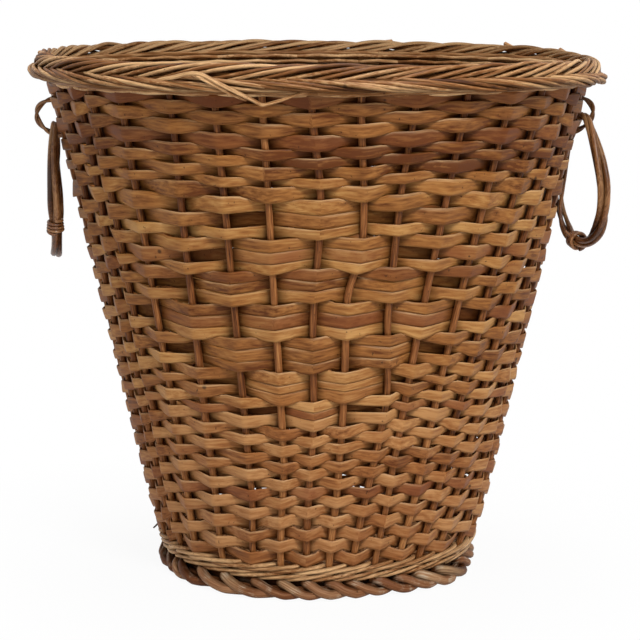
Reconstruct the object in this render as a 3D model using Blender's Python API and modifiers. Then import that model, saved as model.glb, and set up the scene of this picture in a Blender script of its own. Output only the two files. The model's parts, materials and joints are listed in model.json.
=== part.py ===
"""Round wicker waste basket: flat strips woven over upright stakes, a plaited rim and foot, two ring handles.

Run with: blender --background --python part.py

Lengths are in metres and +Z is up. The origin is the middle of the footprint and the front is -Y.
A bearing is an angle round the basket, counted from the front towards +X.
A reach is a distance from the basket's upright axis.
"""

import math

import bpy
from mathutils import Vector

# Fits
CLEARANCE = 0.0003

# Stakes, the upright rods that everything is woven over
STAKE_COUNT = 36
STAKE_RADIUS = 0.0021
FLOOR_REACH = 0.0955
MOUTH_REACH = 0.1644
STAKE_TWIST = math.radians(-7)

# Heights of the wall's zones, each standing on the one before it
FOOT_HEIGHT = 0.0104
WALING_HEIGHT = 0.0108
LOWER_HEIGHT = 0.0900
PANEL_HEIGHT = 0.1365
UPPER_HEIGHT = 0.0248
HANGER_SPAN = 0.0230
CROWN_HEIGHT = 0.0105

# Weaving: each course holds two to four rows of flat strip
STRIP_THICKNESS = 0.0014
WALING_THICKNESS = 0.0026

# Rows of each course, as the shares of its zone's height at which they end
LOWER_ROW_SHARES = (
    (0.100, 0.184, 0.267),
    (0.351, 0.422, 0.489),
    (0.556, 0.629, 0.692, 0.748),
    (0.811, 0.879, 0.937, 1.000),
)
PANEL_ROW_SHARES = (
    (0.044, 0.085, 0.123),
    (0.161, 0.204, 0.249),
    (0.297, 0.347, 0.393),
    (0.438, 0.489, 0.542),
    (0.593, 0.642, 0.681),
    (0.722, 0.771, 0.825),
    (0.878, 0.936, 1.000),
)
UPPER_ROW_SHARES = ((0.262, 0.504, 0.746, 1.000),)
HANGER_ROW_SHARES = ((0.230, 0.509, 0.796, 1.000),)
CROWN_ROW_SHARES = ((0.543, 1.000),)

# Stakes to each side of the front at which the middle row of each panel course changes sides
PANEL_SPANS = (1, 2, 3, 4, 3, 2, 1)

# Pairs of stakes between which the rows of a course are bonded, by turns from seam to seam,
# and how far each row's edge reaches out for its neighbour there, as a share of the clearance
BOND_STAKES = ((12, 13), (30, 31))
BOND_SHARE = 1.35

# Foot border and woven base
FOOT_WIDTH = 0.0104
FOOT_INSET = 0.0020
BASE_THICKNESS = 0.0050
BASE_LIFT = 0.0030
BASE_CROWN = 0.0045
BASE_RELIEF = 0.0012
BASE_ARMS = 18
BASE_ROUNDS = 9

# Plaited rim
RIM_WIDTH = 0.0194
RIM_HEIGHT = 0.0192
RIM_INSET = 0.0020
PLAIT_RELIEF = 0.0020
COLUMNS_PER_STAKE = 3

# Hangers, the loops of twisted rod that the handles swing in
HANGER_ROD_RADIUS = 0.00185
HANGER_STAND_OFF = 0.0152
HANGER_BEND = 0.0030
HANGER_ARC_STEPS = 10
HANGER_BEND_STEPS = 3
SEAT_STEPS = 200

# Ring handles
RING_DROP = 0.0790
RING_WIDTH = 0.0536
RING_ROD_RADIUS = 0.0042
RING_NECK_RADIUS = 0.0028
RING_BELLY_SHARE = 0.30
LEFT_STAND_OFF = 0.0074
RIGHT_STAND_OFF = 0.0113
RING_PLAY = 0.0006
RING_STEPS = 32

# Binding wound round each handle
BINDING_ROD_RADIUS = 0.00085
BINDING_PITCH = 0.0028
BINDING_TURNS = 4
BINDING_STEPS = 20
LEFT_BINDING_SHARE = 0.333
RIGHT_BINDING_SHARE = 0.480

# Sides of a tube are 4 + 2 * this value
ROD_SIDE_STEPS = 2
BINDING_SIDE_STEPS = 1

# Name, bearing of the hanger, stand-off of the neck, direction of the handle's front edge,
# side that is bound and how far round from the neck, as a share of the whole ring
HANDLES = (
    ("left", math.radians(-85), LEFT_STAND_OFF, math.radians(-84), 1, LEFT_BINDING_SHARE),
    ("right", math.radians(95), RIGHT_STAND_OFF, math.radians(-66), -1, RIGHT_BINDING_SHARE),
)

# Cross-sections, anticlockwise from the outermost point: shares of the width, of the height and of the relief
RIM_SHARES = (
    (1.00, 0.28, 1.0),
    (0.91, 0.56, 1.0),
    (0.67, 0.88, 1.0),
    (0.40, 1.00, 0.6),
    (0.13, 0.87, 0.4),
    (0.00, 0.45, 0.2),
    (0.02, 0.00, 0.0),
    (0.42, 0.00, 0.0),
    (0.68, -0.09, 0.4),
    (0.94, 0.03, 1.0),
)
FOOT_SHARES = (
    (1.00, 0.40, 1.0),
    (0.87, 0.84, 1.0),
    (0.50, 1.00, 0.0),
    (0.13, 0.84, 0.0),
    (0.00, 0.42, 0.0),
    (0.16, 0.00, 0.0),
    (0.50, 0.00, 0.0),
    (0.86, 0.00, 0.0),
)
WALING_SHARES = (
    (0.80, 0.50, 0.0),
    (1.00, 0.74, 0.0),
    (0.75, 0.97, 0.0),
    (0.25, 0.97, 0.0),
    (0.00, 0.74, 0.0),
    (0.20, 0.50, 0.0),
    (0.00, 0.26, 0.0),
    (0.25, 0.03, 0.0),
    (0.75, 0.03, 0.0),
    (1.00, 0.26, 0.0),
)

# Colours, linear
STRIP_GOLD = (0.24, 0.098, 0.030)
STRIP_TAN = (0.21, 0.080, 0.025)
STAKE_BROWN = (0.19, 0.078, 0.027)
BORDER_BROWN = (0.20, 0.092, 0.037)
FOOT_BROWN = (0.25, 0.125, 0.064)
BASE_BROWN = (0.21, 0.105, 0.047)
HANDLE_BROWN = (0.155, 0.066, 0.027)
WILLOW_ROUGHNESS = 0.45
WILLOW_METALLIC = 0.0

WALING_BOTTOM = FOOT_HEIGHT
WALING_TOP = WALING_BOTTOM + WALING_HEIGHT
PANEL_BOTTOM = WALING_TOP + LOWER_HEIGHT
PANEL_TOP = PANEL_BOTTOM + PANEL_HEIGHT
HANGER_LOW = PANEL_TOP + UPPER_HEIGHT
HANGER_HIGH = HANGER_LOW + HANGER_SPAN
WALL_TOP = HANGER_HIGH + CROWN_HEIGHT
STAKE_LEAN = math.atan2(MOUTH_REACH - FLOOR_REACH, WALL_TOP)
STAKE_PITCH = math.tau / STAKE_COUNT

# Bottom, height and rows of each zone of flat strip
STRIP_ZONES = (
    (WALING_TOP, LOWER_HEIGHT, LOWER_ROW_SHARES),
    (PANEL_BOTTOM, PANEL_HEIGHT, PANEL_ROW_SHARES),
    (PANEL_TOP, UPPER_HEIGHT, UPPER_ROW_SHARES),
    (HANGER_LOW, HANGER_SPAN, HANGER_ROW_SHARES),
    (HANGER_HIGH, CROWN_HEIGHT, CROWN_ROW_SHARES),
)


def clear_scene():
    """Empty the file of whatever it starts with."""
    for old in list(bpy.data.objects):
        bpy.data.objects.remove(old, do_unlink=True)


def new_collection(name):
    """A collection linked to the scene."""
    collection = bpy.data.collections.new(name)
    bpy.context.scene.collection.children.link(collection)
    return collection


def willow(name, colour):
    """Bare willow or cane of the given colour."""
    material = bpy.data.materials.new(name)
    material.use_nodes = True
    shader = material.node_tree.nodes["Principled BSDF"]
    shader.inputs["Base Color"].default_value = (*colour, 1)
    shader.inputs["Roughness"].default_value = WILLOW_ROUGHNESS
    shader.inputs["Metallic"].default_value = WILLOW_METALLIC
    return material


def keep(piece, name, collection, material):
    """Name a piece, dress it and move it into its collection."""
    piece.name = name
    piece.data.name = name
    piece.data.materials.append(material)
    for holder in list(piece.users_collection):
        holder.objects.unlink(piece)
    collection.objects.link(piece)
    return piece


def polar(bearing, reach, height):
    """The point at this bearing, distance from the axis and height."""
    return Vector((reach * math.sin(bearing), -reach * math.cos(bearing), height))


def stake_spot(bearing, height):
    """The point at a height on the centre line of the stake that meets the rim at this bearing.

    Every stake is straight, and leans outwards and a little to one side.
    """
    foot = polar(bearing + STAKE_TWIST, FLOOR_REACH, 0)
    head = polar(bearing, MOUTH_REACH, WALL_TOP)
    return foot.lerp(head, height / WALL_TOP)


def stake_reach(height):
    """Distance from the axis to the stakes' centre lines at a height."""
    return stake_spot(0, height).xy.length


def off_stake(bearing, height, offset):
    """The point that stands this far outwards from a stake's centre line."""
    spot = stake_spot(bearing, height)
    outwards = Vector((spot.x, spot.y, 0)).normalized()
    return spot + outwards * offset


def wall_bearing(bearing, height):
    """The bearing at a height of what meets the rim at the bearing given, as the wall twists."""
    spot = stake_spot(bearing, height)
    return math.atan2(spot.x, -spot.y)


def strip_offset(height, thickness):
    """How far the middle of a strip stands off the stakes' circle where it passes a stake.

    The strip runs straight from the outside of one stake to the inside of the next,
    so the offset is widened until that slanting run also clears the rod.
    """
    pitch = stake_reach(height) * STAKE_PITCH
    need = (STAKE_RADIUS + CLEARANCE + thickness / 2) / math.cos(STAKE_LEAN)
    return need / math.sqrt(1 - (2 * need / pitch) ** 2)


def stake_at(bearing):
    """Number of the stake at a bearing on the rim, counted from the front."""
    return round(bearing / STAKE_PITCH) % STAKE_COUNT


def side_of_stake(stake, row, span=0):
    """1 where a row passes outside the stake and -1 where it passes inside.

    A row with a span changes sides at that many stakes to each side of the front, and at the front.
    """
    side = 1 if (stake + row) % 2 == 0 else -1
    from_front = min(stake, STAKE_COUNT - stake)
    return -side if span and from_front <= span else side


def rod(name, points, radius, roundness, closed=False, radii=None):
    """A round rod along the points, closed on itself or with filled ends."""
    curve = bpy.data.curves.new(name, "CURVE")
    curve.dimensions = "3D"
    curve.bevel_depth = radius
    curve.bevel_resolution = roundness
    curve.use_fill_caps = not closed
    spline = curve.splines.new("POLY")
    spline.points.add(len(points) - 1)
    for index, point in enumerate(points):
        spline.points[index].co = (*point, 1)
        spline.points[index].radius = radii[index] / radius if radii else 1
    spline.use_cyclic_u = closed
    spline.use_smooth = True
    piece = bpy.data.objects.new(name, curve)
    bpy.context.scene.collection.objects.link(piece)
    return piece


def hide_tool(piece):
    """Keep a piece that only shapes others out of sight."""
    piece.hide_render = True
    piece.display_type = "WIRE"


def empty(name, collection, location, turn):
    """An empty that carries the pieces placed from it."""
    holder = bpy.data.objects.new(name, None)
    holder.location = location
    holder.rotation_euler = (0, 0, turn)
    holder.empty_display_size = RING_WIDTH
    collection.objects.link(holder)
    return holder


def add_stakes(parts, material):
    """Straight rods that lean outwards, from just above the foot border to the top of the wall."""
    end_dip = STAKE_RADIUS * math.sin(STAKE_LEAN)
    bottom = FOOT_HEIGHT + CLEARANCE + end_dip
    top = WALL_TOP - end_dip
    length = (stake_spot(0, top) - stake_spot(0, bottom)).length
    shared = None
    for number in range(STAKE_COUNT):
        name = f"stake_{number + 1:02d}"
        if shared is None:
            stake = rod(name, [(0, 0, 0), (0, 0, length)], STAKE_RADIUS, ROD_SIDE_STEPS)
            shared = keep(stake, name, parts, material)
        else:
            stake = bpy.data.objects.new(name, shared.data)
            parts.objects.link(stake)
        stake.location = stake_spot(number * STAKE_PITCH, bottom)
        along = stake_spot(number * STAKE_PITCH, top) - stake.location
        stake.rotation_euler = along.to_track_quat("Z", "Y").to_euler()


def course_seams():
    """For each course from the bottom up, the heights of the seams below, between and above its rows."""
    courses = []
    for bottom, height, zone in STRIP_ZONES:
        start = bottom
        for shares in zone:
            courses.append([start] + [bottom + height * share for share in shares])
            start = courses[-1][-1]
    return courses


def panel_span(zone_rows, course, place):
    """How far the middle row of a panel course changes sides, and 0 for every other row."""
    is_panel = zone_rows is PANEL_ROW_SHARES and place == len(zone_rows[course]) // 2
    return PANEL_SPANS[course] if is_panel else 0


def row_spans():
    """The span of every row, from the bottom up."""
    return [
        panel_span(zone, course, place)
        for _, _, zone in STRIP_ZONES
        for course, shares in enumerate(zone)
        for place in range(len(shares))
    ]


def add_row(name, row, span, low, high, bonds, collection, material):
    """One row of strip, which passes outside and inside the stakes by turns.

    The bonds tell whether it reaches for the row below it and for the row above it.
    """
    bpy.ops.mesh.primitive_cone_add(
        vertices=STAKE_COUNT,
        radius1=stake_reach(low),
        radius2=stake_reach(high),
        depth=high - low,
        location=(0, 0, (low + high) / 2),
        end_fill_type="NOTHING",
    )
    strip = keep(bpy.context.object, name, collection, material)
    for vertex in strip.data.vertices:
        bearing = math.atan2(vertex.co.x, -vertex.co.y)
        stake = stake_at(bearing)
        is_upper = vertex.co.z > 0
        inset = CLEARANCE
        if bonds[is_upper] and stake in BOND_STAKES[(row + is_upper) % len(BOND_STAKES)]:
            inset -= CLEARANCE * BOND_SHARE
        height = high - inset if is_upper else low + inset
        offset = side_of_stake(stake, row, span) * strip_offset(height, STRIP_THICKNESS)
        vertex.co = off_stake(bearing, height, offset) - strip.location
    solidify = strip.modifiers.new("Strip thickness", "SOLIDIFY")
    solidify.thickness = STRIP_THICKNESS
    solidify.offset = 0
    return strip


def add_course(name, first_row, seams, spans, parts, tools, material):
    """The rows of one course, bonded where they cross between some of the stakes."""
    course = None
    count = len(seams) - 1
    for place in range(count):
        row = first_row + place
        bonds = (place > 0, place < count - 1)
        home, title = (parts, name) if place == 0 else (tools, f"{name}_row_{place + 1}")
        strip = add_row(title, row, spans[row], seams[place], seams[place + 1], bonds, home, material)
        if place == 0:
            course = strip
        else:
            hide_tool(strip)
            bond = course.modifiers.new(strip.name, "BOOLEAN")
            bond.operation = "UNION"
            bond.object = strip
    return course


def add_courses(parts, tools, strip_materials):
    """All the courses from bottom to top, each row out of step with its neighbours."""
    spans = row_spans()
    courses = []
    first_row = 0
    for index, seams in enumerate(course_seams()):
        material = strip_materials[index % len(strip_materials)]
        name = f"weave_course_{index + 1:02d}"
        courses.append(add_course(name, first_row, seams, spans, parts, tools, material))
        first_row += len(seams) - 1
    return courses


def add_outlined_ring(name, columns, shares, place, parts, material):
    """A closed ring whose cross-section takes the outline's points, each set by place(bearing, *point)."""
    bpy.ops.mesh.primitive_torus_add(
        major_segments=columns,
        minor_segments=len(shares),
        major_radius=MOUTH_REACH,
        minor_radius=RIM_WIDTH / 2,
    )
    ring = keep(bpy.context.object, name, parts, material)
    for vertex in ring.data.vertices:
        x, y, z = vertex.co
        around = math.atan2(z, math.hypot(x, y) - MOUTH_REACH)
        point = shares[round(around / math.tau * len(shares)) % len(shares)]
        vertex.co = place(math.atan2(x, -y), *point)
    ring.data.shade_smooth()
    return ring


def plait_dip(bearing, up, relief):
    """Depth of the dips between a plait's crossings, one to each stake, which slant across its face."""
    return PLAIT_RELIEF * relief * (1 - math.cos(STAKE_COUNT * bearing + math.pi * up)) / 2


def foot_inner():
    """Distance from the axis to the inside of the foot border, which is set in a little under the stakes."""
    return stake_reach(FOOT_HEIGHT) - FOOT_INSET - FOOT_WIDTH / 2


def add_foot_border(parts, material):
    """The plaited border that the basket stands on, flat underneath."""
    inner = foot_inner()

    def place(bearing, across, up, relief):
        dip = plait_dip(bearing, up, relief)
        return polar(bearing, inner + FOOT_WIDTH * across - dip, FOOT_HEIGHT * up)

    columns = STAKE_COUNT * COLUMNS_PER_STAKE
    add_outlined_ring("foot_border", columns, FOOT_SHARES, place, parts, material)


def add_waling(parts, material):
    """Two rounds of thin rod above the foot, which bind the stakes' lower ends."""

    def place(bearing, across, up, _):
        height = WALING_BOTTOM + CLEARANCE + (WALING_HEIGHT - CLEARANCE) * up
        offset = side_of_stake(stake_at(bearing), 1) * strip_offset(height, WALING_THICKNESS)
        return off_stake(bearing, height, offset + WALING_THICKNESS * (across - 1 / 2))

    add_outlined_ring("upsett_waling", STAKE_COUNT, WALING_SHARES, place, parts, material)


def add_rim(parts, material):
    """The plaited rim, seated on the stakes' tops and hanging a little over the wall outside."""
    inner = MOUTH_REACH - RIM_INSET
    seat = WALL_TOP + CLEARANCE

    def place(bearing, across, up, relief):
        dip = plait_dip(bearing, up, relief)
        return polar(bearing, inner + RIM_WIDTH * across - dip, seat + RIM_HEIGHT * up)

    columns = STAKE_COUNT * COLUMNS_PER_STAKE
    add_outlined_ring("rim_plait", columns, RIM_SHARES, place, parts, material)


def add_base(parts, material):
    """The woven base, domed upwards so that the basket stands on its border.

    Its rounds pass over and under the arms of the base sticks by turns.
    """
    reach = foot_inner() - CLEARANCE
    levels = 2 * BASE_ROUNDS + 1
    bpy.ops.mesh.primitive_uv_sphere_add(segments=2 * BASE_ARMS, ring_count=levels, radius=reach)
    base = keep(bpy.context.object, "base_weave", parts, material)
    for vertex in base.data.vertices:
        x, y, z = vertex.co
        level = round(math.atan2(math.hypot(x, y), z) / math.pi * levels)
        turn = min(level, levels - level)
        bearing = math.atan2(x, -y)
        spread = reach * turn / BASE_ROUNDS
        lift = BASE_LIFT + BASE_CROWN * (1 - (spread / reach) ** 2)
        if 0 < turn:
            lift += BASE_RELIEF * math.cos(BASE_ARMS / 2 * bearing + math.pi * turn)
        if level <= BASE_ROUNDS:
            lift += BASE_THICKNESS
        vertex.co = polar(bearing, spread, lift)


def wall_half(height):
    """Half the thickness of the woven wall, from the stakes' circle to a strip's outer face."""
    return strip_offset(height, STRIP_THICKNESS) + STRIP_THICKNESS / 2


def hanger_arc(steps):
    """The outer part of a hanger as (stand-off from the stakes' circle, height), from its top to its bottom."""
    middle = (HANGER_LOW + HANGER_HIGH) / 2
    start = wall_half(middle)
    arc = []
    for step in range(steps + 1):
        angle = math.pi * step / steps
        out = start + (HANGER_STAND_OFF - start) * math.sin(angle)
        arc.append((out, middle + HANGER_SPAN / 2 * math.cos(angle)))
    return arc


def hanger_bend(out, height, start):
    """A quarter bend of the hanger round (out, height), beginning at the angle given."""
    bend = []
    for step in range(HANGER_BEND_STEPS + 1):
        angle = start + math.pi / 2 * step / HANGER_BEND_STEPS
        bend.append((out + HANGER_BEND * math.cos(angle), height + HANGER_BEND * math.sin(angle)))
    return bend


def hanger_path():
    """A hanger's closed centre line: out of the wall, round, back in and up behind the course it holds."""
    inner = HANGER_BEND - wall_half(HANGER_LOW) - HANGER_ROD_RADIUS - CLEARANCE
    low_bend = hanger_bend(inner, HANGER_LOW + HANGER_BEND, -math.pi / 2)[::-1]
    high_bend = hanger_bend(inner, HANGER_HIGH - HANGER_BEND, math.pi / 2)[::-1]
    mirrored_low = [(2 * inner - out, height) for out, height in low_bend[::-1]]
    return hanger_arc(HANGER_ARC_STEPS) + mirrored_low + high_bend


def on_wall(out, height):
    """A hanger's point in the frame where outwards is -Y."""
    return (0, -(stake_reach(height) + out), height)


def add_hanger(name, bearing, parts, material):
    """A loop of rod that passes through the wall above and below one course, between two stakes."""
    path = [on_wall(out, height) for out, height in hanger_path()]
    hanger = rod(name, path, HANGER_ROD_RADIUS, ROD_SIDE_STEPS, closed=True)
    keep(hanger, name, parts, material)
    hanger.rotation_euler = (0, 0, wall_bearing(bearing, HANGER_LOW))


def cut_hanger_holes(courses, tools):
    """Notch the courses where the hangers' rods pass between them."""
    depth = 4 * wall_half(HANGER_LOW)
    for side, bearing, _, _, _, _ in HANDLES:
        for label, height, first in (("low", HANGER_LOW, -3), ("high", HANGER_HIGH, -2)):
            bpy.ops.mesh.primitive_cylinder_add(
                radius=HANGER_ROD_RADIUS + CLEARANCE,
                depth=depth,
                location=polar(wall_bearing(bearing, HANGER_LOW), stake_reach(height), height),
                rotation=(math.pi / 2, 0, wall_bearing(bearing, HANGER_LOW)),
            )
            cutter = bpy.context.object
            cutter.name = f"hanger_hole_{side}_{label}"
            hide_tool(cutter)
            for holder in list(cutter.users_collection):
                holder.objects.unlink(cutter)
            tools.objects.link(cutter)
            for course in (courses[first], courses[first + 1]):
                notch = course.modifiers.new(cutter.name, "BOOLEAN")
                notch.object = cutter


def pivot_reach(stand_off):
    """Distance from the axis to the middle of a handle's neck."""
    return stake_reach(HANGER_LOW) + stand_off


def pivot_height(reach):
    """Height at which a handle's neck, hanging at this reach, rests on the hanger's lower strand."""
    apart = HANGER_ROD_RADIUS + RING_NECK_RADIUS + RING_PLAY
    rests = []
    for out, height in hanger_arc(SEAT_STEPS)[SEAT_STEPS // 2 :]:
        aside = stake_reach(height) + out - reach
        if abs(aside) < apart:
            rests.append(height + math.sqrt(apart**2 - aside**2))
    return max(rests)


def ring_point(turn):
    """A handle's centre line in its own upright plane, from the pivot: turn 0 is the neck."""
    belly = 1 - RING_BELLY_SHARE * math.cos(turn)
    return Vector((RING_WIDTH / 2 * math.sin(turn) * belly, 0, -RING_DROP / 2 * (1 - math.cos(turn))))


def ring_rod_radius(turn):
    """The handle's thickness, drawn in at the neck where a single rod passes through the hanger."""
    return RING_ROD_RADIUS - (RING_ROD_RADIUS - RING_NECK_RADIUS) * max(0, math.cos(turn))


def add_ring(name, pivot, parts, material):
    """A ring handle, hanging from its neck."""
    turns = [math.tau * step / RING_STEPS for step in range(RING_STEPS)]
    path = [ring_point(turn) for turn in turns]
    radii = [ring_rod_radius(turn) for turn in turns]
    ring = rod(name, path, RING_ROD_RADIUS, ROD_SIDE_STEPS, closed=True, radii=radii)
    keep(ring, name, parts, material).parent = pivot


def binding_path(side, share):
    """The helix of a binding, wound round the handle's rod on the side and at the share given."""
    radius = RING_ROD_RADIUS + CLEARANCE + BINDING_ROD_RADIUS
    step_angle = math.tau / BINDING_STEPS
    count = BINDING_TURNS * BINDING_STEPS
    tiny = step_angle / BINDING_STEPS
    turn = math.tau * share
    speed = (ring_point(turn + tiny) - ring_point(turn)).length / tiny
    turn -= BINDING_TURNS / 2 * BINDING_PITCH / speed
    points = []
    for step in range(count + 1):
        here = ring_point(turn)
        ahead = (ring_point(turn + tiny) - here) / tiny
        across = Vector((-ahead.z, 0, ahead.x)).normalized()
        angle = step * step_angle
        spot = here + radius * (math.cos(angle) * across + math.sin(angle) * Vector((0, 1, 0)))
        points.append(Vector((side * spot.x, spot.y, spot.z)))
        turn += BINDING_PITCH / BINDING_STEPS / ahead.length
    return points


def least_gap(points, radius, steps):
    """The smallest gap between turns of a winding, measured between its points."""
    apart = [
        (first - second).length
        for index, first in enumerate(points)
        for second in points[index + steps // 2 :]
    ]
    return min(apart) - 2 * radius


def add_binding(name, pivot, side, share, parts, material):
    """A thin rod wound round the handle to hold its strands together."""
    path = binding_path(side, share)
    gap = least_gap(path, BINDING_ROD_RADIUS, BINDING_STEPS)
    print(f"{name}: least gap between its turns {gap * 1000:.2f} mm")
    binding = rod(name, path, BINDING_ROD_RADIUS, BINDING_SIDE_STEPS)
    keep(binding, name, parts, material).parent = pivot


def main():
    """Build the basket."""
    clear_scene()
    parts = new_collection("Wicker_waste_basket")
    tools = new_collection("Shaping_tools")
    stake_willow = willow("stake_willow", STAKE_BROWN)
    border_willow = willow("border_willow", BORDER_BROWN)
    handle_willow = willow("handle_willow", HANDLE_BROWN)
    add_base(parts, willow("base_willow", BASE_BROWN))
    add_foot_border(parts, willow("foot_willow", FOOT_BROWN))
    add_waling(parts, border_willow)
    add_stakes(parts, stake_willow)
    strips = (willow("golden_strip", STRIP_GOLD), willow("tan_strip", STRIP_TAN))
    courses = add_courses(parts, tools, strips)
    cut_hanger_holes(courses, tools)
    add_rim(parts, border_willow)
    for side, bearing, stand_off, facing, bound, share in HANDLES:
        add_hanger(f"hanger_{side}", bearing, parts, handle_willow)
        reach = pivot_reach(stand_off)
        place = polar(wall_bearing(bearing, HANGER_LOW), reach, pivot_height(reach))
        pivot = empty(f"handle_{side}_pivot", parts, place, facing)
        add_ring(f"handle_ring_{side}", pivot, parts, handle_willow)
        add_binding(f"handle_binding_{side}", pivot, bound, share, parts, handle_willow)
        print(f"pivot {side}: {place.x:.5f}, {place.y:.5f}, {place.z:.5f}")


if __name__ == "__main__":
    main()
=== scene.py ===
"""Wicker waste basket: every strip and rod of the weave, the plaits and the handles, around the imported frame.

Lengths are in metres and +Z is up. A bearing is an angle round the basket, from the front (-Y) towards +X.
A station is a place round the wall counted in stakes: station 0 is the stake at the front.
"""

import json
import logging
import math
from dataclasses import dataclass
from enum import Enum
from functools import cached_property
from typing import Sequence

import bpy
import numpy as np
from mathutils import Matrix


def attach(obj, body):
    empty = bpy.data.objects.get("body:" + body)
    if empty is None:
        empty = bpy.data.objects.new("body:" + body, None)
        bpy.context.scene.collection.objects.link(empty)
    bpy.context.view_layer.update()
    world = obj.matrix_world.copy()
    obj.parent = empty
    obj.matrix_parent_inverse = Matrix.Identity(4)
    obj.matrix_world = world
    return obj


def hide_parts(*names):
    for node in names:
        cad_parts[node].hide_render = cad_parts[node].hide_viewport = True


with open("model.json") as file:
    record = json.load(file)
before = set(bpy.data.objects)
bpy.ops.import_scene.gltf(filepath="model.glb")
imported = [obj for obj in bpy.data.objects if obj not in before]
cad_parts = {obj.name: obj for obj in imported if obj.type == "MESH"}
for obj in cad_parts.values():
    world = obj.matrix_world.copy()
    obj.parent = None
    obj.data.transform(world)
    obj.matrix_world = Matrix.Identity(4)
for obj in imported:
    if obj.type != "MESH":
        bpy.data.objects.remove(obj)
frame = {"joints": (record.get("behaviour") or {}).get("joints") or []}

log = logging.getLogger("basket")
TAU = 2 * math.pi
UP = np.array([0.0, 0.0, 1.0])
# Painted shade on a rod where it faces the middle of the weave, and how far apart rods side by side lie, in
# radii
BEHIND = 0.8
SPACING = 2.1
Array = np.ndarray
Values = Array | float
Inputs = dict[str | int, object]
Socket = bpy.types.NodeSocket
Colour = tuple[float, float, float]
Pairs = tuple[tuple[float, float], ...]
Triples = tuple[tuple[float, float, float], ...]


class Body(Enum):
    """The bodies of the frame."""

    BASKET = "basket"
    HANDLE_LEFT = "handle_left"
    HANDLE_RIGHT = "handle_right"


class Slot(Enum):
    """The material slots of the record."""

    STAKE = "stake_willow"
    STRIP = "flat_strip"
    BORDER = "border_willow"
    FOOT = "foot_willow"
    BASE = "base_willow"
    HANDLE = "handle_willow"


def linear(red: float, green: float, blue: float) -> tuple[float, float, float, float]:
    """A screen's colour, from 0 to 255, as linear light with full alpha."""
    shares = [channel / 255 for channel in (red, green, blue)]
    return (*(s / 12.92 if s <= 0.04045 else ((s + 0.055) / 1.055) ** 2.4 for s in shares), 1.0)


def between(stops: Pairs, place: Values) -> Array:
    """The value at a place, running straight from stop to stop. Each stop is a place and a value."""
    return np.interp(place, *zip(*stops))


def ripple(seed: int, turn: Array, low: int, high: int) -> Array:
    """Smooth variation that closes on itself round the basket.

    Args:
        seed: tells this variation from the others, and means nothing else.
        turn: angles in radians at which it is wanted.
        low, high: fewest and most waves in one round.

    Returns:
        Values of about -1 to 1, one for each angle.
    """
    source = np.random.default_rng(seed)
    waves = np.arange(low, high + 1)
    phases = source.uniform(0, TAU, len(waves))
    sizes = source.uniform(0.5, 1.0, len(waves))
    total = (sizes * np.sin(np.asarray(turn, float)[..., None] * waves + phases)).sum(-1)
    return total / math.sqrt(len(waves)) * 1.6


def polar(bearing: Values, reach: Values, height: Values) -> Array:
    """Points at these bearings, distances from the axis and heights."""
    bearing, reach, height = np.broadcast_arrays(bearing, reach, height)
    return np.stack([reach * np.sin(bearing), -reach * np.cos(bearing), height], -1)


def outwards(bearing: Values) -> Array:
    """Level directions away from the axis, each one long."""
    return polar(bearing, 1.0, 0.0)


def unit(vectors: Array) -> Array:
    """The vectors, each made one long."""
    return vectors / np.maximum(np.linalg.norm(vectors, axis=-1, keepdims=True), 1e-12)


def tangents(path: Array, closed: bool) -> Array:
    """Directions of a path, open or closed, at its points."""
    return unit(np.roll(path, -1, 0) - np.roll(path, 1, 0) if closed else np.gradient(path, axis=0))


def spline(knots: Sequence[Sequence[float]], samples: int) -> Array:
    """A smooth open curve through the knots.

    Args:
        knots: points that the curve passes through.
        samples: how many points to return for each span between knots.

    Returns:
        Points along the curve, from the first knot to the last.
    """
    points = np.asarray(knots, float)
    padded = np.vstack([2 * points[0] - points[1], points, 2 * points[-1] - points[-2]])
    share = np.linspace(0, 1, samples, endpoint=False)[:, None]
    spans = []
    for a, b, c, d in zip(padded, padded[1:], padded[2:], padded[3:]):
        bend = (2 * a - 5 * b + 4 * c - d) * share**2
        spans.append(0.5 * (2 * b + (c - a) * share + bend + (3 * b - a - 3 * c + d) * share**3))
    return np.vstack([*spans, points[-1:]])


def painted_crevice_shade(front: Values, sides: int = 8, beside: float = 0.8) -> Array:
    """Painted shade round a woven rod's section: at its sides, and where it faces the middle of the weave.

    Args:
        front: 1 where the rod lies on the outer side of the weave, -1 on the inner side.
        sides: points in a ring.
        beside: painted shade on the two sides.

    Returns:
        Values of shape (rings, sides).
    """
    angles = TAU * np.arange(sides) / sides
    flanks = np.clip(2.2 * np.abs(np.sin(angles)) - 1.1, 0, 1) * beside
    return np.maximum(flanks, np.clip(-np.atleast_1d(front)[:, None] * np.cos(angles), 0, 1) * BEHIND)


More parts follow.
